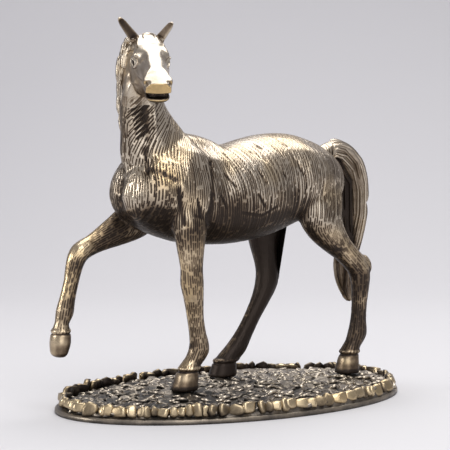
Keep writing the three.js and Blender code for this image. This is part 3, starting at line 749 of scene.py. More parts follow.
def comb(skin, allowed, lie, gap, step, longest, seed):
    """Lines of points that follow the lie over the allowed part of a skin, about a gap apart."""
    index = np.flatnonzero(allowed)
    tree = kdtree.KDTree(len(index))
    place = skin.points[index].tolist()
    for k, p in enumerate(place):
        tree.insert(p, k)
    tree.balance()
    normal = skin.normal[index].tolist()
    way = lie[index].tolist()
    taken = {}
    limit = 1.3 * VOXEL

    def free(p, apart):
        """Whether every line kept so far is at least this far from a point."""
        cx, cy, cz = int(p[0] // gap), int(p[1] // gap), int(p[2] // gap)
        for i in (cx - 1, cx, cx + 1):
            for j in (cy - 1, cy, cy + 1):
                for k in (cz - 1, cz, cz + 1):
                    for q in taken.get((i, j, k), ()):
                        if (p[0] - q[0]) ** 2 + (p[1] - q[1]) ** 2 + (p[2] - q[2]) ** 2 < apart * apart:
                            return False
        return True

    def landed(p):
        """The point put onto the skin, and the nearest skin point's number. Off the edge, no point."""
        k, away = tree.find(p)[1:]
        if away > limit:
            return None, k
        q, n = place[k], normal[k]
        lift = (p[0] - q[0]) * n[0] + (p[1] - q[1]) * n[1] + (p[2] - q[2]) * n[2]
        return (p[0] - n[0] * lift, p[1] - n[1] * lift, p[2] - n[2] * lift), k

    def walk(start, k, sense):
        """A line along the lie of the hair, until it leaves the area or nears another line."""
        line = []
        d = way[k]
        heading = (d[0] * sense, d[1] * sense, d[2] * sense)
        p = start
        while len(line) < longest:
            p, k = landed((p[0] + heading[0] * step, p[1] + heading[1] * step, p[2] + heading[2] * step))
            if p is None or not free(p, 0.62 * gap):
                break
            line.append((p, k))
            d = way[k]
            sense = 1 if d[0] * heading[0] + d[1] * heading[1] + d[2] * heading[2] > 0 else -1
            heading = (d[0] * sense, d[1] * sense, d[2] * sense)
        return line

    chance = random.Random(seed)
    starts = [place[chance.randrange(len(place))] for _ in range(len(place) // 12)]
    starts.reverse()
    lines = []
    while starts:
        p, k = landed(starts.pop())
        if p is None or not free(p, 0.93 * gap):
            continue
        line = walk(p, k, -1)[::-1] + [(p, k)] + walk(p, k, 1)
        if len(line) < 3:
            continue
        for q, k in line:
            taken.setdefault((int(q[0] // gap), int(q[1] // gap), int(q[2] // gap)), []).append(q)
        for q, k in line[::2]:
            n, d = normal[k], way[k]
            side = (n[1] * d[2] - n[2] * d[1], n[2] * d[0] - n[0] * d[2], n[0] * d[1] - n[1] * d[0])
            for sense in (gap, -gap):
                starts.append((q[0] + side[0] * sense, q[1] + side[1] * sense, q[2] + side[2] * sense))
        lines.append([(q, index[k]) for q, k in line])
    return lines


def strokes(lines, shortest, longest, seed, is_short=None):
    """Long lines cut into strokes, half of them with a gap after; shorter where the hair is short."""
    chance = random.Random(seed)
    cut = []
    for line in lines:
        at = -chance.randint(0, 4)
        while at < len(line) - 2:
            count = chance.randint(shortest, longest)
            if is_short is not None and is_short[line[max(at, 0)][1]]:
                count = chance.randint(*SHORT_HAIR)
            cut.append(line[max(at, 0):max(at + count, 0)])
            at += count + 1 if chance.random() < 0.5 else count
    return [stroke for stroke in cut if len(stroke) > 2]


def stroke_mesh(name, cut, skin, wear_and_light, gilt):
    """Strokes as chains of edges, with the girth, the way up, and the wear and painted light at each point.
    """
    places, girths, marks, golds, ups, edges = [], [], [], [], [], []
    for stroke in cut:
        first = len(places)
        count = len(stroke)
        for k, (p, vertex) in enumerate(stroke):
            end = min(k + 0.6, count - 0.4 - k) / STROKE_TAPER
            places.append(p)
            girths.append(min(1.0, end))
            marks.append(wear_and_light[vertex])
            golds.append(gilt[vertex])
            ups.append(skin.normal[vertex])
            if k:
                edges.append((first + k - 1, first + k))
    mesh = bpy.data.meshes.new(name)
    mesh.vertices.add(len(places))
    mesh.vertices.foreach_set("co", (np.array(places) * MM).astype(np.float32).ravel())
    mesh.edges.add(len(edges))
    mesh.edges.foreach_set("vertices", np.array(edges, np.int32).ravel())
    set_values(mesh, "girth", np.array(girths))
    set_values(mesh, "wear_and_light", np.array(marks))
    set_values(mesh, "gilt", np.array(golds))
    mesh.attributes.new("way_up", "FLOAT_VECTOR", "POINT").data.foreach_set(
        "vector", np.array(ups, np.float32).ravel())
    return mesh


# Geometry nodes
def new_tree(name, inputs):
    """A modifier's tree with its inputs, ending in a finish; gives what adds and joins its nodes."""
    tree = bpy.data.node_groups.new(name, "GeometryNodeTree")
    tree.is_modifier = True
    face = tree.interface
    face.new_socket("Geometry", in_out="INPUT", socket_type="NodeSocketGeometry")
    for socket_name, kind, value in inputs:
        socket = face.new_socket(socket_name, in_out="INPUT", socket_type="NodeSocket" + kind)
        if value is not None:
            socket.default_value = value
    face.new_socket("Finish", in_out="INPUT", socket_type="NodeSocketMaterial")
    face.new_socket("Geometry", in_out="OUTPUT", socket_type="NodeSocketGeometry")
    return tree, tree.nodes.new, tree.links.new, tree.nodes.new("NodeGroupInput").outputs


def stored(tree, name, kind="FLOAT"):
    """A value kept on the points of the mesh."""
    node = tree.nodes.new("GeometryNodeInputNamedAttribute")
    node.data_type = kind
    node.inputs["Name"].default_value = name
    return node.outputs["Attribute"]


def worked_out(tree, operation, a, b=None):
    """A calculation on one or two sockets or numbers."""
    node = tree.nodes.new("ShaderNodeMath")
    node.operation = operation
    for socket, value in zip(node.inputs, (a, b)):
        if isinstance(value, (int, float)):
            socket.default_value = value
        elif value is not None:
            tree.links.new(value, socket)
    return node.outputs["Value"]


def end_tree(tree, geometry, finish):
    """Makes what repeats real, and gives it the finish."""
    join = tree.links.new
    whole = tree.nodes.new("GeometryNodeRealizeInstances")
    paint = tree.nodes.new("GeometryNodeSetMaterial")
    join(geometry, whole.inputs["Geometry"])
    join(whole.outputs["Geometry"], paint.inputs["Geometry"])
    join(finish, paint.inputs["Material"])
    join(paint.outputs["Geometry"], tree.nodes.new("NodeGroupOutput").inputs["Geometry"])
    return tree


def stroke_tree():
    """Turns chains of edges into low ridges that lie on the skin."""
    tree, new, join, given = new_tree("Chased ridges", (
        ("Ridge width", "Float", 0.9 * MM), ("Ridge height", "Float", 0.3 * MM),
        ("Ridge root", "Float", 0.3 * MM)))
    curve = new("GeometryNodeMeshToCurve")
    lay = new("GeometryNodeSetCurveNormal")
    lay.mode = "FREE"
    section = new("GeometryNodeCurvePrimitiveQuadrilateral")
    section.mode = "KITE"
    sweep = new("GeometryNodeCurveToMesh")
    sweep.inputs["Fill Caps"].default_value = True
    shade = new("GeometryNodeSetShadeSmooth")
    join(given["Geometry"], curve.inputs["Mesh"])
    join(curve.outputs["Curve"], lay.inputs["Curve"])
    join(stored(tree, "way_up", "FLOAT_VECTOR"), lay.inputs["Normal"])
    join(given["Ridge width"], section.inputs["Width"])
    join(given["Ridge height"], section.inputs["Top Height"])
    join(given["Ridge root"], section.inputs["Bottom Height"])
    join(lay.outputs["Curve"], sweep.inputs["Curve"])
    join(section.outputs["Curve"], sweep.inputs["Profile Curve"])
    join(stored(tree, "girth"), sweep.inputs["Scale"])
    join(sweep.outputs["Mesh"], shade.inputs["Geometry"])
    return end_tree(tree, shade.outputs["Geometry"], given["Finish"])


def chasing_tree():
    """Cuts strokes into a skin, as deep as it allows, and darkens it there."""
    tree, new, join, given = new_tree("Chased strokes", (
        ("Strokes", "Object", None), ("Stroke width", "Float", 0.4 * MM),
        ("Stroke depth", "Float", 0.25 * MM), ("Stroke dark", "Float", 0.6)))
    lines = new("GeometryNodeObjectInfo")
    near = new("GeometryNodeProximity")
    near.target_element = "EDGES"
    join(given["Strokes"], lines.inputs["Object"])
    join(lines.outputs["Geometry"], near.inputs[0])
    ratio = worked_out(tree, "DIVIDE", near.outputs["Distance"], given["Stroke width"])
    squared = worked_out(tree, "MULTIPLY", ratio, ratio)
    fall = worked_out(tree, "EXPONENT", worked_out(tree, "MULTIPLY", squared, -1.0))
    cut = worked_out(tree, "MULTIPLY", fall, stored(tree, "combed"))
    dark = worked_out(tree, "MULTIPLY", cut, given["Stroke dark"])
    deep = worked_out(tree, "MULTIPLY", cut, given["Stroke depth"])
    store = new("GeometryNodeStoreNamedAttribute")
    store.data_type = "FLOAT"
    store.domain = "POINT"
    store.inputs["Name"].default_value = "wear_and_light"
    inward = new("ShaderNodeVectorMath")
    inward.operation = "SCALE"
    sink = new("GeometryNodeSetPosition")
    join(given["Geometry"], store.inputs["Geometry"])
    join(worked_out(tree, "SUBTRACT", stored(tree, "wear_and_light"), dark), store.inputs["Value"])
    join(new("GeometryNodeInputNormal").outputs["Normal"], inward.inputs["Vector"])
    join(worked_out(tree, "MULTIPLY", deep, -1.0), inward.inputs["Scale"])
    join(store.outputs["Geometry"], sink.inputs["Geometry"])
    join(inward.outputs["Vector"], sink.inputs["Offset"])
    return end_tree(tree, sink.outputs["Geometry"], given["Finish"])


def scatter_tree():
    """Sets one of three chips at each point, turned and sized as the point says."""
    tree, new, join, given = new_tree("Scattered flakes", (
        *((name, "Object", None) for name in CHIP_NAMES), ("Flake size", "Float", 1.0)))
    heap = new("GeometryNodeJoinGeometry")
    for name in CHIP_NAMES:
        shape = new("GeometryNodeObjectInfo")
        shape.inputs["As Instance"].default_value = True
        join(given[name], shape.inputs["Object"])
        join(shape.outputs["Geometry"], heap.inputs["Geometry"])
    sized = new("ShaderNodeVectorMath")
    sized.operation = "SCALE"
    join(stored(tree, "size", "FLOAT_VECTOR"), sized.inputs["Vector"])
    join(given["Flake size"], sized.inputs["Scale"])
    place = new("GeometryNodeInstanceOnPoints")
    place.inputs["Pick Instance"].default_value = True
    turn = new("FunctionNodeEulerToRotation")
    shade = new("GeometryNodeSetShadeSmooth")
    join(given["Geometry"], place.inputs["Points"])
    join(heap.outputs["Geometry"], place.inputs["Instance"])
    join(stored(tree, "kind", "INT"), place.inputs["Instance Index"])
    join(stored(tree, "turn", "FLOAT_VECTOR"), turn.inputs["Euler"])
    join(turn.outputs["Rotation"], place.inputs["Rotation"])
    join(sized.outputs["Vector"], place.inputs["Scale"])
    join(place.outputs["Instances"], shade.inputs["Geometry"])
    return end_tree(tree, shade.outputs["Geometry"], given["Finish"])


def with_tree(name, mesh, tree, **values):
    """The plain mesh that a tree makes, as a new object."""
    carrier = object_from(name + "_lines", mesh)
    change = carrier.modifiers.new("made", "NODES")
    change.node_group = tree
    for item in tree.interface.items_tree:
        if item.in_out == "INPUT" and item.name in values:
            change[item.identifier] = values[item.name]
    made = plain_copy(carrier)
    made.name = name
    bpy.data.objects.remove(carrier)
    return object_from(name, made)


# Materials
BRASS_SOCKETS = (
    ("Place", "Vector", None),
    # This value holds the wear and patina together with painted light and shade.
    ("Wear", "Float", 0.5),
    ("Gilt", "Float", 0.0),
    ("Blotch scale", "Float", 90.0),
    ("Stain scale", "Float", 42.0),
    ("Grain scale", "Float", 900.0),
    ("Patina", "Color", (0.030, 0.021, 0.016, 1)),
    ("Brown", "Color", (0.17, 0.12, 0.078, 1)),
    ("Brass", "Color", (0.57, 0.495, 0.40, 1)),
    ("Gold", "Color", (0.66, 0.46, 0.20, 1)),
)


def brass_group():
    """Aged brass: dark patina where low, worn bright where proud, also showing painted light and shade."""
    tree = bpy.data.node_groups.new("Aged brass", "ShaderNodeTree")
    face = tree.interface
    for name, kind, value in BRASS_SOCKETS:
        socket = face.new_socket(name, in_out="INPUT", socket_type="NodeSocket" + kind)
        if value is not None:
            socket.default_value = value
    for name, kind in (("Colour", "Color"), ("Metal", "Float"), ("Roughness", "Float"), ("Height", "Float")):
        face.new_socket(name, in_out="OUTPUT", socket_type="NodeSocket" + kind)
    new = tree.nodes.new
    join = tree.links.new
    given = new("NodeGroupInput")
    result = new("NodeGroupOutput")

    def noise(scale_from, detail):
        """A noise whose scale is one of the given values."""
        node = new("ShaderNodeTexNoise")
        node.inputs["Detail"].default_value = detail
        join(given.outputs["Place"], node.inputs["Vector"])
        join(given.outputs[scale_from], node.inputs["Scale"])
        return node.outputs["Fac"]

    def swing(value, amount):
        """A noise as a swing to either side of nought."""
        return worked_out(tree, "MULTIPLY", worked_out(tree, "SUBTRACT", value, 0.5), amount)

    def ranged(value, low, high, to_low, to_high):
        """A value brought from one range to another, eased at both ends."""
        node = new("ShaderNodeMapRange")
        node.interpolation_type = "SMOOTHSTEP"
        join(value, node.inputs["Value"])
        ends = (("From Min", low), ("From Max", high), ("To Min", to_low), ("To Max", to_high))
        for name, number in ends:
            node.inputs[name].default_value = number
        return node.outputs["Result"]

    def blend(share, a, b):
        """A mix of two colours."""
        node = new("ShaderNodeMix")
        node.data_type = "RGBA"
        join(share, node.inputs["Factor"])
        join(a, node.inputs["A"])
        join(b, node.inputs["B"])
        return node.outputs["Result"]

    blotch = noise("Blotch scale", 3.0)
    grain = noise("Grain scale", 4.0)
    stain = noise("Stain scale", 3.0)
    uneven = worked_out(tree, "ADD", swing(blotch, 0.45), swing(grain, 0.16))
    worn_and_lit = worked_out(tree, "ADD", given.outputs["Wear"], uneven)
    low = blend(ranged(worn_and_lit, 0.05, 0.45, 0, 1), given.outputs["Patina"], given.outputs["Brown"])
    metal = blend(ranged(stain, 0.48, 0.68, 0, 0.38), given.outputs["Brass"], given.outputs["Gold"])
    metal = blend(given.outputs["Gilt"], metal, given.outputs["Gold"])
    join(blend(ranged(worn_and_lit, 0.25, 0.75, 0, 1), low, metal), result.inputs["Colour"])
    join(ranged(worn_and_lit, 0.1, 0.55, 0.75, 1.0), result.inputs["Metal"])
    join(ranged(worn_and_lit, 0.1, 0.8, 0.44, 0.26), result.inputs["Roughness"])
    join(grain, result.inputs["Height"])
    return tree


def brass(name, group, bump, **values):
    """A brass finish that reads the wear, with its painted light and shade, and the gilt of the piece it is
    on.
    """
    material = bpy.data.materials.new(name)
    material.use_nodes = True
    nodes, join = material.node_tree.nodes, material.node_tree.links.new
    shader = nodes["Principled BSDF"]
    finish = nodes.new("ShaderNodeGroup")
    finish.node_tree = group
    for socket, value in values.items():
        finish.inputs[socket].default_value = value
    place = nodes.new("ShaderNodeTexCoord")
    join(place.outputs["Object"], finish.inputs["Place"])
    for attribute, socket in (("wear_and_light", "Wear"), ("gilt", "Gilt")):
        read = nodes.new("ShaderNodeAttribute")
        read.attribute_name = attribute
        join(read.outputs["Fac"], finish.inputs[socket])
    join(finish.outputs["Colour"], shader.inputs["Base Color"])
    join(finish.outputs["Metal"], shader.inputs["Metallic"])
    join(finish.outputs["Roughness"], shader.inputs["Roughness"])
    raised = nodes.new("ShaderNodeBump")
    raised.inputs["Strength"].default_value = 1.0
    raised.inputs["Distance"].default_value = bump * MM
    join(finish.outputs["Height"], raised.inputs["Height"])
    join(raised.outputs["Normal"], shader.inputs["Normal"])
    return material


# The horse
# Patches that look golden: x, y, z, reach and amount
GOLDEN = [(-52, -20, 118, 9, 0.7), (-40, -23, 104, 8, 0.4), (-60, -8, 112, 7, 0.25)]
BODY_PARTS = ("horse_breast", "horse_forehand", "horse_loins", "horse_haunches")
# Where the body is parted, along its length
SPLITS = (-46.0, -8.0, 40.0)
# Raised strands: gap, step, most points, shortest and longest, width, height and root, and the seed
MANE_STRANDS = (1.5, 1.5, 30, (8, 20), (1.5, 0.7, 0.5), 12)
TAIL_STRANDS = (2.5, 1.8, 90, (16, 60), (2.4, 1.2, 0.6), 13)
CROWN_REACH = 9


def gilt_of(points, normal, regions):
    """Where the brass looks golden: the front of the muzzle, and patches of the breast and knees."""
    gilt = 0.9 * regions.muzzle * smooth(normal @ HEAD_ALONG, 0.5, 0.85)
    gilt = gilt + 0.35 * regions.leg
    for x, y, z, reach, amount in GOLDEN:
        gilt = gilt + amount * np.exp(-(((points - (x, y, z)) / reach) ** 2).sum(1))
    return np.clip(gilt, 0, 1)


# Wear and painted light: the level of a plain side, and how much darker or brighter each part is
PLAIN_WEAR = 0.52
TOP_LIGHT = 0.22
UNDER_SHADE = 0.3
SIDE_LIGHTER = 0.1
HEAD_LIGHTER = 0.1
LEG_DARK = 0.14
NEAR_HIND_DARK = 0.1
NEAR_CANNON_DARK = 0.14
FAR_HIND_SHADE = 0.36
INNER_LEG_SHADE = 0.25
TAIL_DARK = 0.22
TAIL_TIP_DARK = 0.15
TAIL_INSIDE_SHADE = 0.4
HOOF_DARK = 0.26
SOLE_SHADE = 0.4
HOOF_HIGHLIGHT = 0.32
EAR_ROOT_DARK = 0.5


def wear_and_light_of(skin, regions, photo, rounds, gain):
    """Worn bright where proud, patina in the folds; painted light on top, painted shade below and between.
    """
    proud = np.clip(skin.crest(rounds) * gain, -0.45, 0.3)
    facing = skin.normal[:, 2]
    x, y, z = skin.points.T
    # Painted light on what faces up, painted shade on what faces down
    wear_and_light = PLAIN_WEAR + proud + TOP_LIGHT * smooth(facing, -0.1, 0.7) - UNDER_SHADE * smooth(-facing, 0.2, 0.9)
    # Rubbed places, painted highlights and painted shade
    for pixel, reach, amount in RUBBED_AND_LIT:
        place = photo.place(*pixel)
        if place is not None:
            wear_and_light += amount * np.exp(-(((skin.points - place) / reach) ** 2).sum(1))
    wear_and_light += SIDE_LIGHTER * (z > 78) * smooth(np.abs(skin.normal[:, 1]), 0.3, 0.8)
    # Painted shade on the inner sides of the legs
    inner = smooth(-np.sign(y) * skin.normal[:, 1], 0.1, 0.8) * (z < 96)
    lower = (1 - smooth(z, 76, 100)) * (1 - regions.tail)
    # The far hind leg in painted shade
    far_hind = (y > 0) * (x > -5) * (x < 70) * lower
    near_hind = (y < 0) * (x > 30) * lower
    wear_and_light += HEAD_LIGHTER * regions.head - LEG_DARK * regions.leg
    cannon = 1 - smooth(z, 50, 66)
    wear_and_light -= (NEAR_HIND_DARK + NEAR_CANNON_DARK * cannon) * near_hind * (1 - regions.hoof)
    wear_and_light = np.clip(wear_and_light - INNER_LEG_SHADE * inner * regions.leg, 0.24, 0.82)
    # Painted shade at the foot of each hoof, by the ground
    sole = regions.hoof * (1 - smooth(z, 11.5, 13.5))
    # A painted highlight across the front of each hoof
    highlight_band = 0
    for hoof_x, hoof_y, top in HOOVES:
        front = (hoof_x - 4, hoof_y - 5, top - 3.6)
        highlight_band = highlight_band + HOOF_HIGHLIGHT * np.exp(-(((skin.points - front) / (5, 5, 2.0)) ** 2).sum(1))
    for root, reach in CAST_EARS:
        wear_and_light = wear_and_light - EAR_ROOT_DARK * np.exp(-(((skin.points - root - 0.18 * reach) / 2.4) ** 2).sum(1))
    tail = TAIL_DARK + TAIL_TIP_DARK * smooth(-z, -90, -70)
    wear_and_light = wear_and_light - FAR_HIND_SHADE * far_hind - tail * regions.tail
    # Painted shade inside the tail, towards the buttocks
    wear_and_light = wear_and_light - TAIL_INSIDE_SHADE * regions.tail_inside - HOOF_DARK * regions.hoof + highlight_band - SOLE_SHADE * sole
    return np.clip(wear_and_light, 0, 1)


def soften_body(body, regions):
    """Evens out the cast facets, less so on the ears, hooves and muzzle."""
    everywhere = np.ones(len(body.points))
    fine = np.clip(regions.ear + regions.hoof + 0.8 * regions.muzzle, 0, 1)
    thick = np.clip(1 - regions.leg - regions.head - regions.tail - regions.mane, 0, 1)
    body.soften(0.5 * thick, 24)
    body.soften(0.5 * (1 - fine), 8)
    body.soften(0.5 * regions.hoof, 6)
    body.soften(0.4 * everywhere, 2)


def cut_coat(body, regions, lie, wear_and_light, gilt, finish, chasing):
    """The strokes of the coat cut into the skin: its points, and its wear and painted light afterwards."""
    bare = (regions.head, regions.tail, regions.mane, regions.hoof, regions.forelock)
    coat = np.prod([1 - part for part in bare], axis=0)
    short_hair = (regions.leg > 0.5) | (body.points[:, 0] < -48) & (body.points[:, 2] < 126)
    lines = comb(body, coat > 0.5, lie, COAT_GAP, COAT_STEP, 40, COAT_SEED)
    cut = strokes(lines, *LONG_HAIR, COAT_SEED, short_hair)
    hair = object_from("coat_hair", stroke_mesh("coat_hair", cut, body, wear_and_light, gilt))
    skin_mesh = mesh_from("horse_skin", body.points, body.quads)
    set_values(skin_mesh, "wear_and_light", wear_and_light)
    set_values(skin_mesh, "combed", smooth(coat, 0.3, 0.9) * (1 - 0.45 * regions.leg)
               * (1 - 0.3 * smooth(body.normal[:, 2], 0.3, 0.9)))
    chased = with_tree("horse_skin", skin_mesh, chasing, Strokes=hair, Finish=finish, **{
        "Stroke width": STROKE_WIDTH * MM, "Stroke depth": STROKE_DEPTH * MM, "Stroke dark": STROKE_DARK})
    bpy.data.objects.remove(hair)
    worn_and_lit = np.empty(len(body.points), np.float32)
    chased.data.attributes["wear_and_light"].data.foreach_get("value", worn_and_lit)
    points = points_of(chased.data)
    bpy.data.objects.remove(chased)
    return points, worn_and_lit


def head_part(body, is_head, photo):
    """The head, cut finer than the body so that its eyes and lips can be carved, with its ears."""
    head_points, head_quads = halved(body.points, body.quads[is_head])
    used, back = np.unique(head_quads, return_inverse=True)
    head = Skin(head_points[used], back.reshape(-1, 4))
    inside = np.ones(len(head.points))
    inside[head.edges[head.uses == 1].ravel()] = 0
    head.soften(0.35 * inside, 2)
    ear_points, ear_faces, ear_wear_and_shade = ear_shells(head)
    flatten_poll(head)
    carve_head(head)
    regions = Regions(head.points)
    wear_and_light = wear_and_light_of(head, regions, photo, 12, 1.0)
    along, up, right = in_head(head.points)
    gape = smooth(along, 42, 45) * np.exp(-((up - MOUTH_LEVEL) / 1.3) ** 4)
    eye = ring(along, up, EYE, EYE_REACH)
    outer = smooth(np.abs(right), 4.0, 5.5)
    # Painted highlights on the eyelids, round an eye painted dark
    lid_highlight = 0.4 * np.exp(-((eye - 1.05) / 0.22) ** 2)
    wear_and_light += outer * (lid_highlight - 0.8 * np.exp(-((eye - 0.45) / 0.4) ** 4))
    # Painted shade on the sides of the head
    wear_and_light -= 0.14 * outer * smooth(np.abs(head.normal @ HEAD_RIGHT), 0.4, 0.8)
    wear_and_light -= 0.22 * forelock_lines(along, up, right)
    # A painted highlight on the crown; the top and front of the muzzle painted darker against their
    # highlight
    front = smooth(head.normal @ HEAD_ALONG, 0.6, 0.9)
    wear_and_light -= 0.08 * regions.muzzle * front
    wear_and_light -= 0.22 * smooth(along, 33, 43) * (1 - front)
    wear_and_light += 0.55 * np.exp(-(np.linalg.norm(head.points - on_head(*CROWN), axis=1) / 7) ** 4)
    wear_and_light = np.clip(wear_and_light - 0.9 * gape, 0, 1.1)
    values = {"wear_and_light": wear_and_light, "gilt": gilt_of(head.points, head.normal, regions) * (1 - gape)}
    points, faces, columns, on_rim = closed_part(head, np.ones(len(head.quads), bool), values)
    columns["wear_and_light"] = np.append(columns["wear_and_light"], ear_wear_and_shade)
    columns["gilt"] = np.append(columns["gilt"], 0 * ear_wear_and_shade)
    return ("horse_head", np.concatenate([points, ear_points]),
            np.concatenate([faces, ear_faces + len(points)]), columns,
            np.append(on_rim, np.zeros(len(ear_points), bool)))


def add_part(name, points, faces, columns, on_rim, finish):
    """A closed part of the horse in the place of the solid, with crisp edges round its closed ends."""
    mesh = mesh_from(name, points, faces)
    ends = np.empty(len(mesh.edges) * 2, np.int32)
    mesh.edges.foreach_get("vertices", ends)
    sharp = on_rim[ends.reshape(-1, 2)].all(1)
    mesh.attributes.new("sharp_edge", "BOOLEAN", "EDGE").data.foreach_set("value", sharp)
    for column, numbers in columns.items():
        set_values(mesh, column, numbers)
    mesh.materials.append(finish)
    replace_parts(finished(object_from(name, mesh)), "horse")


def raise_strands(body, regions, lie, wear_and_light, gilt, finish, ridges):
    """Raised strands over the mane and the tail."""
    off_crown = np.linalg.norm(body.points - on_head(*CROWN), axis=1) > CROWN_REACH
    on_mane = (regions.mane > 0.4) & (regions.head < 0.5) & off_crown
    strands = (("mane_strands", on_mane, MANE_STRANDS), ("tail_strands", regions.tail > 0.3, TAIL_STRANDS))
    for name, allowed, sizes in strands:
        gap, step, longest, count, (width, height, root), seed = sizes
        lines = strokes(comb(body, allowed, lie, gap, step, longest, seed), *count, seed)
        mesh = stroke_mesh(name, lines, body, np.clip(wear_and_light + 0.06, 0, 1), gilt)
        piece = with_tree(name, mesh, ridges, Finish=finish, **{
            "Ridge width": width * MM, "Ridge height": height * MM, "Ridge root": root * MM})
        finished(piece)


def brass_horse(finishes, ridges, chasing):
    """The horse in five closed parts, and the strands of its mane and tail."""
    body = Skin(*remeshed("horse_form", *rounded(merged_copy("horse")), VOXEL))
    regions = Regions(body.points)
    soften_body(body, regions)
    photo = Photo(body)
    carved = carve_body(body, regions, photo)
    lie = coat_direction(body, regions)
    wear_and_light = np.clip(wear_and_light_of(body, regions, photo, 9, 1.6) + np.clip(0.35 * carved, -0.28, 0.12), 0, 0.86)
    gilt = gilt_of(body.points, body.normal, regions)
    plain = body.points
    body.points, chased_wear_and_light = cut_coat(body, regions, lie, wear_and_light, gilt, finishes["body"], chasing)
    values = {"wear_and_light": chased_wear_and_light, "gilt": gilt}
    middle = plain[body.quads].mean(1)
    along, up, _ = in_head(middle)
    is_head = (along > -6) & (up > -30) & ((middle[:, 2] > 168) | (along > 8)) & (middle[:, 0] < -30)
    add_part(*head_part(body, is_head, photo), finishes["body"])
    edges = (-1e9, *SPLITS, 1e9)
    for name, low, high in zip(BODY_PARTS, edges, edges[1:]):
        chosen = (middle[:, 0] >= low) & (middle[:, 0] < high) & ~is_head
        add_part(name, *closed_part(body, chosen, values), finishes["body"])
    body.points = plain
    raise_strands(body, regions, lie, wear_and_light, gilt, finishes["hair"], ridges)


# The base
BASE_GRID = (170, 108)
FOOT_HEIGHT = 2.4
CHIP_APART = 3.9
CHIP_TRIES = 26000
CHIP_SUNK = 0.95
CHIP_SIDES = 8
HOOF_CLEAR = 7.6
SCALLOP_PITCH = 5.6
BLOCK_LEVEL = 6.1
# How far out the ground and the rim's blocks reach, as shares of the oval
RIM_SHARE = 0.955
BLOCK_SHARE = 0.957
# How square a chip's outline is, and each shape's tone: worn on the rim, worn and painted light on the
# ground
ROUND = 2
SQUARISH = 3.2
GROUND_TONES_AND_LIGHT = (0.12, 0.0, -0.2)
RIM_TONES = (-0.16, 0.0, 0.16)
CHIP_NAMES = ("First chip", "Second chip", "Third chip")


def disc_grid(count_x, count_y):
    """Places on a round disc of radius 1, from a square grid, with even spacing."""
    u, v = np.meshgrid(np.linspace(-1, 1, count_x), np.linspace(-1, 1, count_y), indexing="ij")
    wide = np.abs(u) > np.abs(v)
    radius = np.where(wide, u, v)
    ratio = np.where(wide, v / np.where(u == 0, 1, u), u / np.where(v == 0, 1, v))
    turn = np.where(wide, ratio * math.pi / 4, math.pi / 2 - ratio * math.pi / 4)
    return radius * np.cos(turn), radius * np.sin(turn)


# Rows of a chip from its middle outwards: radius, height, lift of the lip, wear, and shine of the lip
FLAKE_ROWS = ((0.5, 0.3, 0.1, 0.32, 0.0), (0.84, 0.26, 0.4, 0.34, 0.3), (0.97, 0.06, 0.45, 0.34, 0.75),
              (1.05, -0.5, 0.0, 0.1, 0.0))
BLOCK_ROWS = ((0.5, 0.95, 0.05, 0.42, 0.1), (0.8, 0.82, 0.12, 0.4, 0.4), (0.97, 0.42, 0.1, 0.26, 0.55),
              (1.03, -0.4, 0.0, 0.06, 0.0))


def chip(name, seed, rows, square, tone):
    """A chip or block of radius 1 mm, with a raised and worn lip on one side."""
    chance = np.random.default_rng(seed)
    turns = (np.arange(CHIP_SIDES) + chance.uniform(-0.25, 0.25, CHIP_SIDES)) * 2 * math.pi / CHIP_SIDES
    corner = (np.abs(np.cos(turns)) ** square + np.abs(np.sin(turns)) ** square) ** (-1 / square)
    outline = corner * chance.uniform(0.84, 1.12, CHIP_SIDES)
    lip = chance.uniform(0.75, 1.2, CHIP_SIDES)
    ahead = 0.5 + 0.5 * np.cos(turns)
    places, wear_and_light_parts = [], []
    for radius, height, lift, wear_and_light, shine in rows:
        places.append(np.stack([radius * outline * np.cos(turns), radius * outline * np.sin(turns),
                                height + lift * ahead * lip], 1))
        wear_and_light_parts.append(wear_and_light + tone + shine * ahead * lip)
    number = np.arange(len(rows) * CHIP_SIDES).reshape(len(rows), CHIP_SIDES)
    following = np.roll(number, -1, axis=1)
    quads = np.stack([number[:-1], number[1:], following[1:], following[:-1]], -1).reshape(-1, 4)
    hubs = number.size + np.arange(2)
    points = np.concatenate([*places, [[0, 0, rows[0][1] + 0.04], [0, 0, -0.5]]])
    upper = np.stack([number[0], following[0], np.full(CHIP_SIDES, hubs[0])], 1)
    under = np.stack([following[-1], number[-1], np.full(CHIP_SIDES, hubs[1])], 1)
    mesh = mesh_from(name, points, np.concatenate([quads[:, [0, 1, 2]], quads[:, [0, 2, 3]], upper, under]))
    set_values(mesh, "wear_and_light", np.append(np.concatenate(wear_and_light_parts), [rows[0][3] + tone, 0.05]))
    return object_from(name, mesh)


def scattered(name, places, turns, sizes, kinds, tree, shapes, finish):
    """The plain mesh of many chips, each with its place, turn, size and kind."""
    mesh = bpy.data.meshes.new(name)
    mesh.vertices.add(len(places))
    mesh.vertices.foreach_set("co", (np.array(places) * MM).astype(np.float32).ravel())
    for column, numbers in (("turn", turns), ("size", sizes)):
        mesh.attributes.new(column, "FLOAT_VECTOR", "POINT").data.foreach_set(
            "vector", np.array(numbers, np.float32).ravel())
    mesh.attributes.new("kind", "INT", "POINT").data.foreach_set("value", np.array(kinds, np.int32))
    return with_tree(name, mesh, tree, Finish=finish, **shapes)


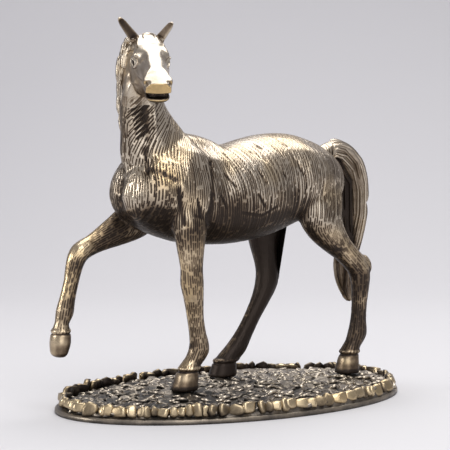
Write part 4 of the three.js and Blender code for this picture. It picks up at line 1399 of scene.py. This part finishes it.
def ground_and_foot(half_long, half_wide, cast_level, finish):
    """The ground under the chips, with its wall and foot."""
    u, v = disc_grid(*BASE_GRID)
    x, y = u * RIM_SHARE * half_long, v * RIM_SHARE * half_wide
    level = np.array([cast_level(*at) for at in zip(x.ravel(), y.ravel())]).reshape(x.shape)
    for _ in range(14):
        inner = (level[:-2, 1:-1] + level[2:, 1:-1] + level[1:-1, :-2] + level[1:-1, 2:]) / 4
        level[1:-1, 1:-1] += 0.8 * (inner - level[1:-1, 1:-1])
    clear = np.full(x.shape, 99.0)
    for hoof_x, hoof_y, _ in HOOVES[:3]:
        clear = np.minimum(clear, np.hypot((x - hoof_x) / 1.05, y - hoof_y))
    z = level - 0.45 - 0.4 * smooth(clear, 6.5, 9.5) - 0.5 * smooth(np.hypot(u, v), 0.95, 1.0)
    z += 0.3 * np.sin(x * 1.1 + 2 * np.sin(y * 0.9)) * np.sin(y * 1.3 + x * 0.4)
    top = np.stack([x, y, z], -1).reshape(-1, 3)
    count_x, count_y = BASE_GRID
    number = np.arange(count_x * count_y).reshape(count_x, count_y)
    corners = (number[:-1, :-1], number[1:, :-1], number[1:, 1:], number[:-1, 1:])
    quads = np.stack(corners, -1).reshape(-1, 4)
    border = np.concatenate([number[:-1, 0], number[-1, :-1], number[:0:-1, -1], number[0, :0:-1]])
    angle = np.arctan2(v.ravel()[border], u.ravel()[border])
    shape = np.stack([np.cos(angle), np.sin(angle)], 1)
    rows = [top]
    wear_and_light_parts = [np.full(len(top), 0.2)]
    previous = border
    faces = [quads]
    total = len(top)
    brim = np.maximum(top[border, 2], FOOT_HEIGHT + 1.2)
    top[border, 2] = brim
    wall = (
        (RIM_SHARE + 0.008, brim - 0.8, 0.3),
        (RIM_SHARE + 0.016, np.maximum(brim - 2.2, FOOT_HEIGHT + 0.35), 0.28),
        (RIM_SHARE + 0.02, FOOT_HEIGHT + 0.3, 0.2),
        (0.984, FOOT_HEIGHT, 0.36),
        (0.991, FOOT_HEIGHT - 0.5, 0.38),
        (0.992, 0.4, 0.18),
        (0.988, 0.0, 0.1),
    )
    for share, height, wear_and_light in wall:
        rows.append(np.stack([shape[:, 0] * half_long * share, shape[:, 1] * half_wide * share,
                              height + np.zeros(len(border))], 1))
        wear_and_light_parts.append(np.full(len(border), wear_and_light))
        current = np.arange(len(border)) + total
        faces.append(np.stack([previous, np.roll(previous, -1), np.roll(current, -1), current], 1)[:, ::-1])
        previous = current
        total += len(border)
    rows.append(np.zeros((1, 3)))
    wear_and_light_parts.append(np.array([0.1]))
    points = np.concatenate(rows)
    quads = np.concatenate(faces)
    fan = np.stack([previous, np.roll(previous, -1), np.full(len(previous), total)], 1)[:, ::-1]
    triangles = np.concatenate([quads[:, [0, 1, 2]], quads[:, [0, 2, 3]], fan])
    mesh = mesh_from("ground_and_foot", points, triangles)
    set_values(mesh, "wear_and_light", np.concatenate(wear_and_light_parts))
    radius = np.hypot(points[:, 0] / half_long, points[:, 1] / half_wide)
    set_values(mesh, "gilt", 0.3 * smooth(radius, 0.86, 0.97) + 0.5 * smooth(radius, 0.972, 0.98))
    mesh.materials.append(finish)
    piece = finished(object_from("ground_and_foot", mesh))
    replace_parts(piece, "base")


def chip_shapes(prefix, seed, rows, square, tones):
    """Three chips or blocks to scatter."""
    return {name: chip(prefix + name[:3], seed + k, rows, square, tones[k])
            for k, name in enumerate(CHIP_NAMES)}


def scatter_and_clear(name, places, turns, sizes, kinds, tree, shapes, finish):
    """The scattered piece, with the three shapes that it was made from removed."""
    finished(scattered(name, places, turns, sizes, kinds, tree, shapes, finish))
    for shape in shapes.values():
        bpy.data.objects.remove(shape)


def ground_chips(half_long, half_wide, cast_level, chance, tree, finish):
    """Chips over the ground, clear of the hooves, painted brighter towards the right as painted light."""
    places, turns, sizes, kinds, cells = [], [], [], [], {}
    for _ in range(CHIP_TRIES):
        px, py = chance.uniform(-1, 1), chance.uniform(-1, 1)
        if math.hypot(px, py) > 1:
            continue
        px, py = px * half_long * 0.95, py * half_wide * 0.93
        if any(math.hypot(px - hx, py - hy) < HOOF_CLEAR for hx, hy, _ in HOOVES[:3]):
            continue
        cx, cy = int(px // CHIP_APART), int(py // CHIP_APART)
        if any(math.hypot(px - qx, py - qy) < CHIP_APART for i in (-1, 0, 1) for j in (-1, 0, 1)
               for qx, qy in cells.get((cx + i, cy + j), ())):
            continue
        cells.setdefault((cx, cy), []).append((px, py))
        places.append((px, py, cast_level(px, py) - CHIP_SUNK + chance.uniform(-0.25, 0.3)))
        lean = math.radians(chance.uniform(6, 24))
        across = lean * chance.choice((-1, 1))
        turns.append((across, lean * chance.uniform(-1, 1), chance.uniform(0, 2 * math.pi)))
        size = chance.uniform(2.2, 3.9)
        sizes.append((size * chance.uniform(0.85, 1.2), size * chance.uniform(0.65, 1.0), size * 0.46))
        # The kind, and with it the tone, follows x: painted light across the base, with some random spread
        kinds.append(min(2, max(0, round(1 + 1.6 * px / half_long + chance.uniform(-0.8, 0.8)))))
    shapes = chip_shapes("chip_", 21, FLAKE_ROWS, ROUND, GROUND_TONES_AND_LIGHT)
    scatter_and_clear("ground_chips", places, turns, sizes, kinds, tree, shapes, finish)


def rim_blocks(half_long, half_wide, chance, tree, finish):
    """Blocks round the rim, leaning out over the foot."""
    places, turns, sizes, kinds = [], [], [], []
    turn = 0.0
    while turn < 2 * math.pi - 0.03:
        out = unit(np.array([math.cos(turn) * half_wide, math.sin(turn) * half_long, 0]))
        spot = np.array([math.cos(turn) * half_long, math.sin(turn) * half_wide, 0]) * BLOCK_SHARE
        spot[2] = BLOCK_LEVEL + chance.uniform(-0.3, 0.7)
        rise = UP * chance.uniform(0.1, 0.75)
        facing = unit(out + rise + np.cross(UP, out) * chance.uniform(-0.8, 0.8))
        across = unit(np.cross(UP, facing))
        frame_of = Matrix(np.stack([np.cross(facing, across), -across, facing], 1).tolist())
        places.append(spot - facing * chance.uniform(0.9, 1.4))
        turns.append(tuple(frame_of.to_euler()))
        width = chance.uniform(0.55, 1.35)
        sizes.append((3.1 * chance.uniform(0.8, 1.2), 3.6 * width, chance.uniform(1.7, 2.4)))
        kinds.append(chance.randrange(3))
        turn += SCALLOP_PITCH * width / math.hypot(math.sin(turn) * half_long, math.cos(turn) * half_wide)
    shapes = chip_shapes("rim_", 31, BLOCK_ROWS, SQUARISH, RIM_TONES)
    scatter_and_clear("rim_scallops", places, turns, sizes, kinds, tree, shapes, finish)


def pebbled_base(finishes, tree):
    """The ground on its foot, the chips over it and the blocks round its rim."""
    low, high = (np.array(corner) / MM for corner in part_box("base"))
    half_long, half_wide = (high[0] - low[0]) / 2, (high[1] - low[1]) / 2
    joined = merged_copy("base")
    cast = BVHTree.FromPolygons(points_of(joined).tolist(), faces_of(joined, 3).tolist())

    def cast_level(x, y):
        """The height of the cast ground at a place."""
        return cast.ray_cast((float(x), float(y), 40), (0, 0, -1))[0][2]

    ground_and_foot(half_long, half_wide, cast_level, finishes["ground"])
    chance = random.Random(31)
    ground_chips(half_long, half_wide, cast_level, chance, tree, finishes["ground"])
    rim_blocks(half_long, half_wide, chance, tree, finishes["rim"])


# The room: a pale sweep, soft lights and the camera
FLOOR_FRONT = -1400
FLOOR_BACK = 500
SWEEP_RADIUS = 700
WALL_TOP = 2600
SWEEP_REACH = 2600
PALE_NEAR = (0.72, 0.71, 0.72, 1)
PALE_FAR_SHADED = (0.57, 0.56, 0.58, 1)
# How far in front of and behind the figurine the sweep turns darker, as painted shade, in metres
TONE_FROM = -0.25
TONE_TO = 0.9
ROOM_COLOUR = (0.97, 0.96, 1.0, 1)
ROOM_STRENGTH = 0.42
# Lamps: name, place, what they look at, size and power
LAMPS = (
    ("overhead", (280, 220, 900), (0, 0, 80), 900, 7.0),
    ("room_behind_camera", (-700, -1500, 500), (0, 0, 90), 1600, 10.0),
    ("front_top", (-160, -600, 950), (-40, 0, 120), 500, 3.0),
    ("left", (-900, 350, 420), (-40, 0, 110), 380, 2.4),
)


def pale_sweep():
    """A floor that curves up behind the figurine, with painted shade towards the back, and see-through from
    behind.
    """
    profile = [(FLOOR_FRONT, 0), (FLOOR_BACK, 0)]
    for degrees in range(0, 91, 6):
        angle = math.radians(degrees)
        profile.append((FLOOR_BACK + SWEEP_RADIUS * math.sin(angle), SWEEP_RADIUS * (1 - math.cos(angle))))
    profile.append((FLOOR_BACK + SWEEP_RADIUS, WALL_TOP))
    rows = []
    for side in (-SWEEP_REACH, SWEEP_REACH):
        for away, height in profile:
            rows.append([*(unit(-TOWARDS_CAMERA[:2]) * away + CAMERA_RIGHT[:2] * side), height])
    count = len(profile)
    faces = np.array([(k, k + count, k + count + 1, k + 1) for k in range(count - 1)])
    mesh = mesh_from("pale_sweep", np.array(rows), faces)
    material = bpy.data.materials.new("pale_sweep")
    material.use_nodes = True
    shader = material.node_tree.nodes["Principled BSDF"]
    new, join = material.node_tree.nodes.new, material.node_tree.links.new
    place = new("ShaderNodeTexCoord")
    split = new("ShaderNodeSeparateXYZ")
    away = new("ShaderNodeMapRange")
    tone = new("ShaderNodeMix")
    tone.data_type = "RGBA"
    join(place.outputs["Object"], split.inputs["Vector"])
    join(split.outputs["Y"], away.inputs["Value"])
    away.inputs["From Min"].default_value = TONE_FROM
    away.inputs["From Max"].default_value = TONE_TO
    join(away.outputs["Result"], tone.inputs["Factor"])
    # Painted shade: the sweep darkens towards the back
    tone.inputs["A"].default_value = PALE_NEAR
    tone.inputs["B"].default_value = PALE_FAR_SHADED
    join(tone.outputs["Result"], shader.inputs["Base Color"])
    facing = new("ShaderNodeNewGeometry")
    front = new("ShaderNodeMath")
    front.operation = "SUBTRACT"
    front.inputs[0].default_value = 1.0
    join(facing.outputs["Backfacing"], front.inputs[1])
    join(front.outputs["Value"], shader.inputs["Alpha"])
    shader.inputs["Roughness"].default_value = 0.9
    shader.inputs["Specular IOR Level"].default_value = 0.1
    mesh.materials.append(material)
    floor = object_from("pale_sweep", mesh)


def lamp(name, at, aim, size, power):
    """A soft square light at a place in millimetres that looks at another."""
    light = bpy.data.lights.new(name, "AREA")
    light.shape = "SQUARE"
    light.size = size * MM
    light.energy = power
    holder = object_from(name, light)
    back = unit(np.array(at, float) - np.array(aim, float))
    right = unit(np.cross(UP, back)) if abs(back[2]) < 0.99 else np.array([1.0, 0, 0])
    matrix = np.eye(4)
    matrix[:3, 0], matrix[:3, 1], matrix[:3, 2] = right, np.cross(back, right), back
    matrix[:3, 3] = np.array(at) * MM
    holder.matrix_world = Matrix(matrix.tolist())


def studio():
    """The soft room, its lamps, and the camera at the photograph's viewing angle."""
    scene = bpy.context.scene
    world = bpy.data.worlds.new("soft_room")
    world.use_nodes = True
    shade = world.node_tree.nodes["Background"]
    shade.inputs["Color"].default_value = ROOM_COLOUR
    shade.inputs["Strength"].default_value = ROOM_STRENGTH
    scene.world = world
    for settings in LAMPS:
        lamp(*settings)
    camera = bpy.data.cameras.new("camera")
    camera.sensor_width = SENSOR
    camera.lens = FOCAL_PIXELS / PHOTO_SIDE * SENSOR
    camera.clip_start = 0.01
    camera.clip_end = 20
    holder = object_from("camera", camera)
    matrix = np.eye(4)
    matrix[:3, 0], matrix[:3, 1], matrix[:3, 2] = CAMERA_RIGHT, CAMERA_UP, TOWARDS_CAMERA
    matrix[:3, 3] = CAMERA_AT * MM
    holder.matrix_world = Matrix(matrix.tolist())
    scene.camera = holder
    scene.view_settings.view_transform = "Standard"


studio()
pale_sweep()
aged = brass_group()
finishes = {
    "body": brass("aged_brass_body", aged, 0.05),
    "hair": brass("aged_brass_hair", aged, 0.03, **{"Grain scale": 1400.0}),
    "ground": brass("aged_brass_ground", aged, 0.10, **{
        "Patina": (0.03, 0.028, 0.026, 1), "Brown": (0.20, 0.17, 0.14, 1), "Gold": (0.60, 0.51, 0.37, 1)}),
    "rim": brass("aged_brass_rim", aged, 0.06, **{
        "Brown": (0.22, 0.17, 0.11, 1), "Brass": (0.60, 0.48, 0.31, 1)}),
}
brass_horse(finishes, stroke_tree(), chasing_tree())
pebbled_base(finishes, scatter_tree())
